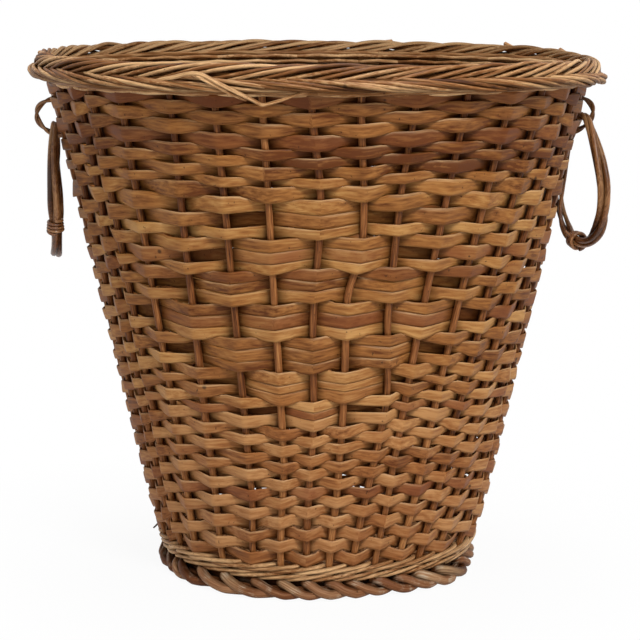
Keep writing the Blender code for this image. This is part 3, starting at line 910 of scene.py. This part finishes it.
    def _marks(self, index: int, stations: Array, depth: Array) -> dict[str, Values]:
        """Colour marks of one row: each round is two or three strips, which differ in tone.

        Args:
            index: the row.
            stations: where round the wall.
            depth: how far inside the stakes it lies, from 0 to 1, as (stations, 1).

        Returns:
            The marks by name.
        """
        turn = stations * self.wall.pitch
        source = np.random.default_rng(3000 + index)
        joins = np.sort(source.choice(self.wall.stake_count, 3, replace=False))
        strip = np.searchsorted(joins, stations, side="right") % 3
        tones = source.uniform(0.22, 0.80, 3)
        blushes = source.uniform(0, 0.25, 3) + (0.6 if index in self.ruddy else 0.0)
        dark, faces_out, wear_and_highlight = np.array(self.section).T[2:]
        # Painted shade: a strip darkens where it goes in behind a stake, and on its inner face where it lies in
        # front
        sunk = 0.9 * (faces_out * depth + (1 - faces_out) * (1 - depth))
        highlight_variation = np.clip(0.55 + 0.5 * ripple(560 + index, turn, 6, 30), 0, 1)[:, None]
        return {
            "tone": tones[strip] + between(self.shading, index) + 0.10 * ripple(260 + index, turn, 3, 9),
            "hidden": np.maximum(sunk, dark),
            "blush": np.clip(blushes[strip], 0, 1),
            # Painted highlight: the upper edge is made paler where the strip lies in front of the stakes
            "cut": wear_and_highlight * highlight_variation * (1 - depth),
            "rosy": between(self.rosy, index),
        }


@dataclass
class UpsettWaling:
    """Rounds of thin rod above the foot, each rod passing in front of two stakes and behind one."""

    wall: Wall
    # Middle height of each round, the rods in it, and the share of a rod's way that lies outside the stakes
    heights: tuple[float, ...] = (0.0136, 0.0184)
    rods: int = 3
    front: float = 0.74
    radius: float = 0.00138
    stand_off: float = 0.0033
    climb: float = 0.0054
    wobble: float = 0.00010
    samples: int = 8
    # How bluntly a rod swings out round the stakes, and in behind them. Low numbers are blunt
    bluntness: tuple[float, float] = (0.4, 0.8)
    # A thin twig end that sticks out on the left, in millimetres
    twig: Triples = ((-98.5, 0, 25.5), (-101.5, -0.4, 23.0), (-103.8, -1.0, 20.8), (-105.9, -1.4, 18.8))
    twig_radii: tuple[float, float] = (0.0007, 0.0005)

    def build(self) -> None:
        """Weave the rounds."""
        piece = Piece("upsett_rods", TAU * self.radius)
        stations = np.arange(0, self.wall.stake_count, 1 / self.samples)
        turn = stations * self.wall.pitch
        for level, height in enumerate(self.heights):
            for rod in range(self.rods):
                seed = 320 + 4 * level + rod
                cycle = ((stations - rod - 0.5 * level) / self.rods) % 1.0
                outside = np.clip(cycle / self.front, 0, 1)
                inside = np.clip((cycle - self.front) / (1 - self.front), 0, 1)
                is_outside = cycle < self.front
                rise = height + self.climb * np.where(is_outside, outside - 0.5, 0.5 - inside)
                ahead = np.sin(math.pi * outside) ** self.bluntness[0]
                behind = np.sin(math.pi * inside) ** self.bluntness[1]
                swing = np.where(is_outside, ahead, -behind)
                path = self.wall.point(
                    stations, rise + self.wobble * ripple(seed, turn, 4, 18), self.stand_off * swing
                )
                piece.rod(
                    path, self.radius, outwards(self.wall.bearing(stations, rise)), True,
                    tone=0.74 + 0.20 * ripple(seed + 20, turn, 2, 8), hidden=painted_crevice_shade(swing), blush=0.1,
                )
        twig = spline(np.array(self.twig) / 1000, 3)
        thin = np.linspace(*self.twig_radii, len(twig))
        piece.rod(twig, thin, np.array([0.0, 1.0, 0.0]), False, tone=0.1, hidden=0.5, blush=0.0)
        piece.place(Body.BASKET, Slot.BORDER, RIM_FINISH, "upsett_waling")


@dataclass
class FootBorder:
    """The stakes' lower ends, turned down one over the next into the ring that the basket stands on."""

    wall: Wall
    # Its rods' radius, its distance from the axis, how far it stays off the floor, and the height at which
    # its places round the wall are taken
    radius: float = 0.0028
    reach: float = 0.0960
    ground: float = 0.0002
    middle: float = 0.012
    # How far the border strays from a true ring: bearing in degrees and distance outwards in millimetres
    strays: Pairs = (
        (-115, 0), (-92, -0.8), (-70, -1.8), (-50, 1.6), (-26, 4.0), (0, 1.6), (19, -1.0), (36, 2.0),
        (52, 5.0), (63, 1.6), (76, -3.0), (92, -1.8), (115, 0),
    )
    # Rods behind the ones that show: distance from the middle of the border and height, in millimetres
    packing: Pairs = ((-4.4, 4.4), (-0.4, 5.6), (-4.6, 8.0), (-3.6, 11.4), (-2.8, 14.8), (0.4, 20.6))
    packing_radius: float = 0.0019
    # Way of one rod: stations past its stake, distance from the border's middle and height, in millimetres
    way: Triples = (
        (-0.12, -3.4, 8.2), (0.02, -0.6, 9.2), (0.24, 2.2, 8.4), (0.56, 4.2, 6.0), (0.88, 4.8, 4.1),
        (1.18, 4.2, 3.0), (1.55, 1.6, 2.9), (1.95, -2.0, 2.9), (2.40, -4.6, 4.4),
    )
    samples: int = 6
    sides: int = 10

    def stray(self, bearing: Array) -> Array:
        """How far the border strays outwards at a bearing."""
        return between(self.strays, (np.degrees(bearing) + 180) % 360 - 180) / 1000

    def build(self) -> None:
        """Lay the border, one rod from each stake."""
        piece = Piece("foot_rods", TAU * self.radius)
        for index in range(self.wall.stake_count):
            source = np.random.default_rng(4000 + index)
            knots = np.array(self.way)
            knots[:, 1:] += source.uniform(-0.3, 0.3, (len(knots), 2))
            knots[:, 0] += index + source.uniform(-0.12, 0.12)
            way = spline(knots, self.samples)
            step, last = np.arange(len(way)), len(way) - 1
            radius = self.radius * source.uniform(0.92, 1.08)
            taper = between(((0, 0.8), (5, 1.14), (12, 1.08), (len(way) * 0.7, 0.94), (last, 0.6)), step)
            radius = radius * taper
            bearing = self.wall.bearing(way[:, 0], self.middle)
            reach = self.reach + self.stray(bearing) + way[:, 1] / 1000
            height = np.maximum(way[:, 2] / 1000, radius + self.ground)
            tone = source.uniform(0.1, 0.9)
            pale_share = max(0.0, source.uniform(-0.6, 0.9))
            cut = between(((3, 0.0), (8, 0.8), (16, 0.5), (26, 0.0)), step) * pale_share
            # Painted shade on the inner side of each rod, towards the wall, and on the sides of the rods
            inner = between(((-3, 0.9), (1, 0.0)), way[:, 1])[:, None]
            hidden = np.maximum(inner, painted_crevice_shade(1.0, self.sides, 0.7))
            marks = {"tone": tone, "hidden": hidden, "blush": 0.5, "cut": cut}
            piece.arc(bearing, reach, height, radius, False, self.sides, **marks)
        turn = np.arange(0, TAU, self.wall.pitch / 4)
        for across, height in self.packing:
            stray = self.stray(turn) * (height / 1000 < self.middle)
            reach, height = self.reach + stray + across / 1000, height / 1000
            # Painted shade: the packing rods are darkened, as they lie in shade behind the border
            piece.arc(turn, reach, height, self.packing_radius, tone=0.3, hidden=0.8, blush=0.2, cut=0.0)
        piece.place(Body.BASKET, Slot.FOOT, FOOT_FINISH, "foot_border")


@dataclass
class WovenBase:
    """Crossed base sticks, domed upwards, with thin rods woven round them in pairs."""

    wall: Wall
    sticks: int = 18
    stick_radius: float = 0.0019
    rod_radius: float = 0.0012
    lift: float = 0.0056
    crown: float = 0.0045
    first: float = 0.016
    last: float = 0.0900
    levels: int = 9
    # How far the sticks part where they cross, and how far from the middle
    parting: float = 0.0010
    crossing: float = 0.012
    # How much of its radius keeps a rod off the sticks, and how far it swings round them, as shares
    clear_share: float = 0.7
    swing_share: float = 0.75

    def dome(self, reach: Values) -> Values:
        """Height of the base's middle at a distance from the axis."""
        return self.lift + self.crown * (1 - (reach / self.last) ** 2)

    def build(self) -> None:
        """Lay the sticks and weave the rounds."""
        piece = Piece("base_rods", TAU * self.rod_radius)
        across = np.linspace(-self.last, self.last, 33)
        for index in range(self.sticks // 2):
            middle = self.parting * (1 if index % 2 else -1) * np.exp(-((across / self.crossing) ** 2))
            path = polar(math.pi * index / (self.sticks // 2), across, self.dome(np.abs(across)) + middle)
            dark = painted_crevice_shade(0.0, beside=0.7)
            piece.rod(path, self.stick_radius, UP, False, tone=0.5 + 0.05 * index, hidden=dark, blush=0.2)
        rounds = int((self.last - self.first) / (SPACING * self.rod_radius))
        turn = np.arange(0, TAU, TAU / (self.sticks * 8))
        for index in range(rounds):
            reach = self.first + (index + 0.5) * (self.last - self.first) / rounds
            level = round(reach / self.last * self.levels)
            for rod in range(2):
                weave = np.cos(turn * self.sticks / 2 + math.pi * (level + rod))
                off = self.stick_radius + self.rod_radius * self.clear_share
                height = self.dome(reach) + off * weave * self.swing_share
                path = polar(turn, reach + (rod - 0.5) * self.rod_radius, height)
                tone, dark = 0.5 + 0.3 * math.sin(index * 2.3 + rod), painted_crevice_shade(0.0, 6, 0.7)
                piece.rod(path, self.rod_radius, UP, True, 6, tone=tone, hidden=dark, blush=0.2)
        piece.place(Body.BASKET, Slot.BASE, BASE_FINISH, "base_weave")


@dataclass
class PlaitedRim:
    """The plait of paired rods along the top, over three rounds of thin rod inside."""

    wall: Wall
    # The plait's middle, half its width and depth, and how far its face slopes
    reach: float = 0.1727
    height: float = 0.3160
    half_width: float = 0.0076
    half_depth: float = 0.0027
    slope: float = math.radians(33)
    # Its strands, the rods in each, and how far the second rod lags behind the first and lies in from it
    strands: int = 7
    rods: int = 2
    rod_radius: float = 0.00128
    lag: float = math.radians(24)
    step: float = 0.0007
    samples: int = 14
    # How sharply a rod turns at the plait's edges, and how much wider its outer half is
    sharpness: float = 0.9
    bias: float = 0.20
    # How the rim hangs: to the right and the front, unevenly, and with a dip at the right end
    tilt: float = 0.0009
    back_rise: float = 0.0020
    uneven: float = 0.0005
    dip: float = 0.0030
    dip_bearing: float = math.radians(92)
    dip_width: float = math.radians(30)
    # Cut ends that stand out, root and tip: bearings in degrees, distances and heights in millimetres
    ends: tuple[Triples, ...] = (
        ((169.1, 172.0, 322.4), (162.5, 172.5, 325.0)), ((130.0, 173.0, 322.0), (132.8, 173.0, 325.0)),
        ((111.1, 176.0, 319.0), (114.5, 175.0, 322.6)), ((-106.6, 176.0, 318.6), (-95.6, 177.6, 320.2)),
        ((-102.7, 172.0, 321.8), (-91.7, 174.0, 323.2)),
    )
    end_radius: float = 0.0015
    # Rods inside the plait, by their distance across it
    core: tuple[float, ...] = (-0.0052, -0.0018, 0.0018, 0.0052)
    core_radius: float = 0.00130
    # Rods that fill the space between the plait and the rounds inside it: heights and distances from the axis
    filling: Pairs = (
        (0.3082, 0.1683), (0.3100, 0.1692), (0.3102, 0.1722), (0.3132, 0.1680),
        (0.3132, 0.1710), (0.3162, 0.1672), (0.3164, 0.1700),
    )
    filling_radius: float = 0.0017
    # Rounds of thin rod inside the plait: heights and distances from the axis, and how far the rods swing
    inner_rounds: Pairs = ((0.3072, 0.1646), (0.3108, 0.1648), (0.3144, 0.1652))
    inner_rods: int = 3
    inner_radius: float = 0.00125
    inner_swing: float = 0.0022
    # A thin rod that has come out of the plait: bearings in degrees, distances and heights in millimetres
    snag: Triples = (
        (-31.7, 174.5, 312.9), (-26.8, 178.0, 315.8), (-21.6, 180.0, 318.4), (-17.3, 180.0, 312.9),
        (-13.7, 179.0, 307.6), (-11.0, 176.5, 303.2), (-10.0, 175.0, 301.5), (-8.6, 174.5, 302.3),
        (-6.4, 174.5, 304.3), (-3.9, 173.5, 307.0), (-1.0, 168.0, 309.0),
    )
    # Its split half, which runs beside it
    split: Triples = (
        (-22.6, 177.0, 317.6), (-21.0, 180.0, 316.3), (-17.4, 179.0, 310.7), (-14.6, 177.5, 306.3),
        (-12.9, 175.5, 304.2),
    )
    loose_radii: tuple[float, float] = (0.0013, 0.0009)
    # How unevenly the plait's rods lie across it and through it, and the filling's
    waver: float = 0.0006
    heave: float = 0.0005
    filling_waver: float = 0.0003
    # How much of the rim's sway the filling follows, and how far in from the plait's middle the core lies
    filling_sway: float = 0.4
    core_inset: float = 0.0004

    @property
    def lean(self) -> tuple[float, float]:
        """The direction out of the plait's face: how far outwards and how far up."""
        return math.cos(self.slope), math.sin(self.slope)

    def plait_point(self, turn: Array, phase: Array, rod: int) -> tuple[Array, Array]:
        """A rod of the plait.

        Args:
            turn: bearings, running on over several rounds.
            phase: where in its weave the strand is.
            rod: which rod of the strand.

        Returns:
            Points, and where each lies through the plait: 1 outside, -1 inside.
        """
        wide, once = self.half_width - rod * self.step, turn / self.strands
        late = phase - rod * self.lag
        across = wide * (np.arcsin(self.sharpness * np.sin(late)) / math.asin(self.sharpness))
        across = across - self.bias * (wide - across**2 / wide) + self.waver * ripple(600 + rod, once, 6, 70)
        proud = self.half_depth * np.sin(2 * late) + self.heave * ripple(609 + rod, once, 6, 70)
        lean_out, lean_up = self.lean
        reach = self.reach - across * lean_up + proud * lean_out
        height = self.height + across * lean_out + proud * lean_up + self.sway(turn)
        return polar(turn, reach, height), np.clip(1.4 * proud / self.half_depth, -1, 1)

    def sway(self, turn: Array) -> Array:
        """How far the rim rises and dips round the basket.

        Args:
            turn: bearings.

        Returns:
            Distances upwards.
        """
        past = (turn - self.dip_bearing + math.pi) % TAU - math.pi
        sag = self.dip * np.exp(-((past / self.dip_width) ** 2))
        hang = self.back_rise * (1 - np.cos(turn)) / 2
        return self.uneven * ripple(611, turn, 1, 5) - self.tilt * np.sin(turn) + hang - sag

    def build(self) -> None:
        """Plait the rim, and lay the rods inside it and the loose ones."""
        piece = Piece("rim_rods", TAU * self.rod_radius)
        turn = np.arange(0, TAU * self.strands, self.wall.pitch / self.samples)
        phase = turn * self.wall.stake_count / self.strands
        away = polar(turn, *self.lean)
        for rod in range(self.rods):
            path, front = self.plait_point(turn, phase, rod)
            # Painted light: the rim is made paler towards the back, where its face turns down, away from the
            # lamps
            tone = 0.50 + 0.26 * ripple(630 + rod, turn / self.strands, 8, 50) + 0.22 * (1 - np.cos(turn))
            dark = painted_crevice_shade(front, beside=0.9)
            piece.rod(path, self.rod_radius, away, True, tone=tone, hidden=dark, blush=0.15)
        self._lay_inside(piece)
        self._lay_loose(piece)
        piece.place(Body.BASKET, Slot.BORDER, RIM_FINISH, "rim_plait")

    def _lay_inside(self, piece: Piece) -> None:
        """Lay the core, the filling and the rounds inside.

        Args:
            piece: the rim.
        """
        bearing = np.arange(0, TAU, self.wall.pitch / 8)
        (lean_out, lean_up), sway = self.lean, self.sway(bearing)
        for index, across in enumerate(self.core):
            reach = self.reach - across * lean_up - self.core_inset
            height = self.height + across * lean_out + sway + self.heave * ripple(640 + index, bearing, 8, 40)
            # Painted shade: the core rods are darkened, as they lie deep in the plait
            piece.arc(bearing, reach, height, self.core_radius, tone=0.35, hidden=0.75, blush=0.0)
        for index, (height, reach) in enumerate(self.filling):
            wave = self.filling_waver * ripple(660 + index, bearing, 8, 40)
            way = bearing, reach + wave, height + self.filling_sway * sway + wave
            # Painted shade: the filling is darkened, as it lies in shade under the plait
            piece.arc(*way, self.filling_radius, tone=0.55, hidden=0.45, blush=0.0)
        for level, (height, reach) in enumerate(self.inner_rounds):
            for rod in range(self.inner_rods):
                cycle = ((bearing / self.wall.pitch - rod) / self.inner_rods + 0.5 * level) % 1.0
                rise = self.inner_swing * (np.abs(cycle - 0.5) * 2 - 0.5)
                inner = -self.inner_swing * np.cos(TAU * cycle)
                tone = 0.72 + 0.28 * ripple(650 + self.inner_rods * level + rod, bearing, 3, 12)
                dark = painted_crevice_shade(inner / self.inner_swing)
                way = bearing, reach + inner, height + rise
                piece.arc(*way, self.inner_radius, tone=tone, hidden=dark, blush=0.1)

    def _lay_loose(self, piece: Piece) -> None:
        """Lay the cut ends, and the rod that has come out with its split half.

        Args:
            piece: the rim.
        """
        shares = np.linspace(0, 1, 6)[:, None]
        for root, tip in self.ends:
            bearing, reach, height = (np.array(root) * (1 - shares) + np.array(tip) * shares).T
            way = np.radians(bearing), reach / 1000, height / 1000
            piece.arc(*way, self.end_radius, False, tone=0.5, hidden=0.1, blush=0.1)
        for way in (self.snag, self.split):
            way = [(math.radians(bearing), reach / 1000, height / 1000) for bearing, reach, height in way]
            bearing, reach, height = spline(way, 5).T
            radius, tone = np.linspace(*self.loose_radii, len(reach)), np.linspace(0.9, 0.5, len(reach))
            dark = painted_crevice_shade(1.0, beside=0.5)
            piece.arc(bearing, reach, height, radius, False, tone=tone, hidden=dark, blush=0.0)


@dataclass
class Handle:
    """One ring handle with the hanger that it swings in, on the side of the basket given."""

    wall: Wall
    side: str
    body: Body
    # Bearing of the ring's wide direction, and of the hanger in degrees
    facing: float
    hanger_bearing: float
    # Which way round the ring its binding lies, and how far
    bound: int
    binding_share: float
    # The ring's rods: their radius, how far they spread from its middle and how often they twist round it
    rod: float = 0.0021
    spread: float = 0.0029
    twists: float = 1.0
    strands: int = 3
    # How high the neck is drawn up, and how thick the rods are at the back, as a share
    crest: float = 0.0022
    slim: float = 1.0
    binding_radius: float = 0.00090
    binding_turns: int = 4
    # How far out and up the binding's cut end stands, where it has one
    stub: tuple[float, float] | None = None
    stub_radii: tuple[float, float] = (0.0013, 0.0009)
    # The ring's height and width, how much wider it is low down, and the radius of its bundle of rods at the
    # neck, where the rods have their full radius and under the binding
    drop: float = 0.0790
    width: float = 0.0536
    belly: float = 0.30
    neck: float = 0.0028
    thick: float = 0.0042
    waist: float = 0.0037
    # How far round the ring the binding and the foot of the ring draw its rods together
    drawn: float = 0.30
    foot_half: float = 0.75
    # How far slim rods lie in from the ring's line, and the least that a full rod stands off it
    inset: float = 0.0016
    least_off: float = 0.0007
    # Where the ring is thinned to slim rods at the back: degrees round it and share
    slimmed: Pairs = ((203, 0), (225, 1), (318, 1), (345, 0))
    # Where the hanger comes back to the wall and leaves it, how far out it reaches, its rods' radius and
    # stand-off from their middle, how often they twist, and how far past a half turn its ends run on
    hanger_low: float = 0.2725
    hanger_high: float = 0.2955
    hanger_out: float = 0.0152
    hanger_rod: float = 0.00105
    hanger_twist: float = 0.00085
    hanger_twists: float = 2.25
    hanger_tuck: float = 0.35

    @cached_property
    def pivot(self) -> Array:
        """Where the handle's neck hangs, from the joint of the frame."""
        joints = {joint["child"]: joint for joint in frame["joints"]}
        return np.array(joints[self.body.value]["pos_m"])

    @property
    def forward(self) -> Array:
        """Level direction in which the ring is wide."""
        return np.array([math.cos(self.facing), math.sin(self.facing), 0.0])

    @property
    def normal(self) -> Array:
        """Level direction in which the ring is thin."""
        return np.array([-math.sin(self.facing), math.cos(self.facing), 0.0])

    @property
    def binding_turn(self) -> float:
        """Where on the ring the binding's middle is."""
        return self.bound * TAU * self.binding_share

    def ring_line(self, turn: Array) -> Array:
        """The middle of the ring's rods.

        Args:
            turn: angles round the ring, from its neck.

        Returns:
            Points.
        """
        aside = self.width / 2 * np.sin(turn) * (1 - self.belly * np.cos(turn))
        down = -self.drop / 2 * (1 - np.cos(turn)) + self.crest * np.maximum(0, np.cos(turn)) ** 12
        return self.pivot + aside[:, None] * self.forward + down[:, None] * UP

    def ring_radius(self, turn: Array) -> Array:
        """Distance from the ring's middle to the outside of its bundle of rods.

        Args:
            turn: angles round the ring, from its neck.

        Returns:
            Distances.
        """
        full = self.rod + self.spread
        full = full - (full - self.neck) * np.maximum(0, np.cos(turn)) ** 3
        away = np.abs((turn - self.binding_turn + math.pi) % TAU - math.pi)
        near = np.exp(-((away / self.drawn) ** 2))
        if self.slim == 1:
            past = np.maximum(np.abs(turn - math.pi) - self.foot_half, 0)
            near = np.maximum(near, np.exp(-((past / self.drawn) ** 2)))
        return full - np.maximum(full - self.waist, 0) * near

    def build(self) -> None:
        """Twist the ring, wind its binding and make its hanger."""
        piece = Piece(f"handle_rods_{self.side}", TAU * self.rod)
        turn = np.linspace(0, TAU, 180, endpoint=False)
        line = self.ring_line(turn)
        aside = unit(np.cross(tangents(line, True), self.normal))
        slim = between(self.slimmed, np.degrees(turn)) * (self.slim < 1)
        line = line + (self.inset * slim)[:, None] * unit(self.pivot - self.drop / 2 * UP - line)
        bundle = self.ring_radius(turn)
        rod = self.rod * (1 - (1 - self.slim) * slim) * np.clip(bundle / self.thick + 0.1, 0.6, 1)
        off = (np.maximum(bundle - rod, self.least_off) * (1 - 0.25 * slim))[:, None]
        for strand in range(self.strands):
            way = turn * self.twists + TAU * strand / self.strands
            angle = (way + 0.5 * ripple(710 + strand, turn, 1, 3))[:, None]
            path = line + off * (np.cos(angle) * self.normal + np.sin(angle) * aside)
            tone = 0.5 + 0.35 * ripple(720 + strand, turn, 1, 6)
            piece.rod(path, rod, path - line, True, tone=tone, hidden=painted_crevice_shade(1.0, beside=0.6), blush=0.2)
        piece.place(self.body, Slot.HANDLE, HANDLE_FINISH, f"handle_ring_{self.side}")
        self._binding()
        self._hanger()

    def _binding(self) -> None:
        """Wind the thin rod round the ring, and leave its cut end standing out where it has one."""
        piece = Piece(f"binding_rod_{self.side}", TAU * self.binding_radius)
        share = np.linspace(-0.5, 0.5, self.binding_turns * 24 + 1)
        centre, step = self.binding_turn, 0.01
        speed = np.linalg.norm(np.diff(self.ring_line(np.array([centre, centre + step])), axis=0)) / step
        turn = centre + self.bound * share * self.binding_turns * SPACING * self.binding_radius / speed
        line = self.ring_line(turn)
        forward = tangents(line, False)
        aside = unit(np.cross(forward, self.normal))
        angle = (TAU * self.binding_turns * share)[:, None]
        radius = self.waist + self.binding_radius * (0.9 + 0.25 * np.sin(3 * share))[:, None]
        path = line + radius * (np.cos(angle) * aside + np.sin(angle) * self.normal)
        tone = 0.45 + 0.2 * np.sin(share * 9)
        piece.rod(path, self.binding_radius, forward, False, tone=tone, hidden=0.0, blush=0.3)
        if self.stub:
            out, up = self.stub
            steps = np.linspace(0.25, 1, 8)[:, None]
            end = self.ring_line(np.array([centre]))[0] - steps * out * self.normal + steps**1.3 * (up * UP)
            thin = np.linspace(*self.stub_radii, len(end))
            piece.rod(end, thin, self.forward, False, tone=0.4, hidden=0.0, blush=0.3)
        piece.place(self.body, Slot.HANDLE, HANDLE_FINISH, f"handle_binding_{self.side}")

    def _hanger(self) -> None:
        """Twist the two thin rods of the hanger, out of the wall, round and back in."""
        piece = Piece(f"hanger_rods_{self.side}", TAU * self.hanger_rod)
        angle = np.linspace(-self.hanger_tuck, math.pi + self.hanger_tuck, 64)
        low, high = self.hanger_low, self.hanger_high
        height = (low + high) / 2 + (high - low) / 2 * np.cos(angle)
        bearing = math.radians(self.hanger_bearing)
        line = polar(bearing, self.wall.reach(height) + self.hanger_out * np.sin(angle), height)
        aside = outwards(bearing + math.pi / 2)
        normal = unit(np.cross(tangents(line, False), aside))
        for strand in range(2):
            twist = (np.linspace(0, TAU * self.hanger_twists, len(angle)) + math.pi * strand)[:, None]
            path = line + self.hanger_twist * (np.cos(twist) * aside + np.sin(twist) * normal)
            tone, dark = 0.45 + 0.2 * strand, painted_crevice_shade(1.0, beside=0.6)
            piece.rod(path, self.hanger_rod, aside, False, tone=tone, hidden=dark, blush=0.2)
        piece.place(Body.BASKET, Slot.HANDLE, HANDLE_FINISH, f"hanger_{self.side}")


@dataclass
class Studio:
    """The plain floor, the soft light and the camera of the photograph."""

    camera_spot: tuple[float, float, float] = (0.0, -1.3704, 0.3753)
    pitch: float = 9.155
    lens: float = 122.7
    shift: float = 0.00375
    aim: tuple[float, float, float] = (0.0, 0.0, 0.15)
    # Each lamp's name, place, size and power
    lamps: tuple[tuple[str, tuple[float, float, float], float, float], ...] = (
        ("Key", (0.75, -1.9, 2.0), 0.7, 57),
        ("Fill", (-1.6, -1.7, 0.9), 1.2, 5),
        ("Top", (0.0, 0.4, 2.4), 1.0, 28),
    )
    world_light: float = 0.15
    floor_colour: tuple[float, float, float, float] = (0.86, 0.86, 0.86, 1.0)
    # Distances at which the floor begins and ends to fade into white, and how white it is there
    fade: tuple[float, float, float, float] = (0.11, 0.34, 0.94, 1.0)

    def build(self) -> None:
        """Set up the whole studio."""
        scene = bpy.context.scene
        scene.view_settings.view_transform = "Standard"
        camera = bpy.data.objects.new("Camera", bpy.data.cameras.new("Camera"))
        camera.location = self.camera_spot
        camera.rotation_euler = (math.radians(90 - self.pitch), 0, 0)
        camera.data.lens = self.lens
        camera.data.sensor_width = 36
        camera.data.shift_x = self.shift
        scene.collection.objects.link(camera)
        scene.camera = camera
        self._floor()
        self._world()
        for name, spot, size, power in self.lamps:
            lamp = bpy.data.objects.new(name, bpy.data.lights.new(name, "AREA"))
            lamp.data.size, lamp.data.energy, lamp.location = size, power, spot
            aim = np.array(self.aim) - np.array(spot)
            down = math.atan2(math.hypot(aim[0], aim[1]), -aim[2])
            lamp.rotation_euler = (down, 0, math.atan2(-aim[0], aim[1]))
            scene.collection.objects.link(lamp)

    def _world(self) -> None:
        """White to the camera, and plain pale light on the basket."""
        world = bpy.data.worlds.new("Studio")
        bpy.context.scene.world = world
        world.use_nodes = True
        nodes = Nodes(world.node_tree)
        light = nodes.add("Background", {"Color": (1, 1, 1, 1), "Strength": self.world_light}).outputs[0]
        white = nodes.add("Background", {"Color": (1, 1, 1, 1)}).outputs[0]
        mixed = nodes.add("MixShader", {0: nodes.seen_directly(), 1: light, 2: white})
        nodes.add("OutputWorld", {"Surface": mixed.outputs[0]})

    def _floor(self) -> None:
        """A white floor that fades into the background and keeps the basket's shadow."""
        bpy.ops.mesh.primitive_circle_add(vertices=96, radius=6, fill_type="NGON")
        floor = bpy.context.object
        floor.name = "Floor"
        material = bpy.data.materials.new("White floor")
        material.use_nodes = True
        nodes = Nodes(material.node_tree)
        spot = nodes.add("TexCoord").outputs["Object"]
        away = nodes.add("VectorMath", {0: spot}, operation="LENGTH").outputs["Value"]
        seen = nodes.times(nodes.spread(away, *self.fade), nodes.seen_directly())
        matte = nodes.add("BsdfDiffuse", {"Color": self.floor_colour}).outputs[0]
        mixed = nodes.add("MixShader", {0: seen, 1: matte, 2: nodes.add("Emission").outputs[0]})
        nodes.add("OutputMaterial", {"Surface": mixed.outputs[0]})
        floor.data.materials.append(material)


def main() -> None:
    """Build the basket around the frame."""
    logging.basicConfig(level=logging.INFO, format="%(message)s")
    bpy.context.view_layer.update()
    wall = Wall()
    for part in (Stakes, StripRows, UpsettWaling, FootBorder, WovenBase, PlaitedRim):
        part(wall).build()
    Handle(
        wall, "left", Body.HANDLE_LEFT, math.radians(-84), -85.5, 1, 0.333, neck=0.0023, crest=0.0011,
    ).build()
    Handle(
        wall, "right", Body.HANDLE_RIGHT, math.radians(-66), 94.5, -1, 0.480, spread=0.0024, twists=2.0,
        crest=0.0012, slim=0.66, binding_radius=0.00125, binding_turns=3, stub=(0.0080, 0.0062),
    ).build()
    Studio().build()


if __name__ == "__main__":
    main()
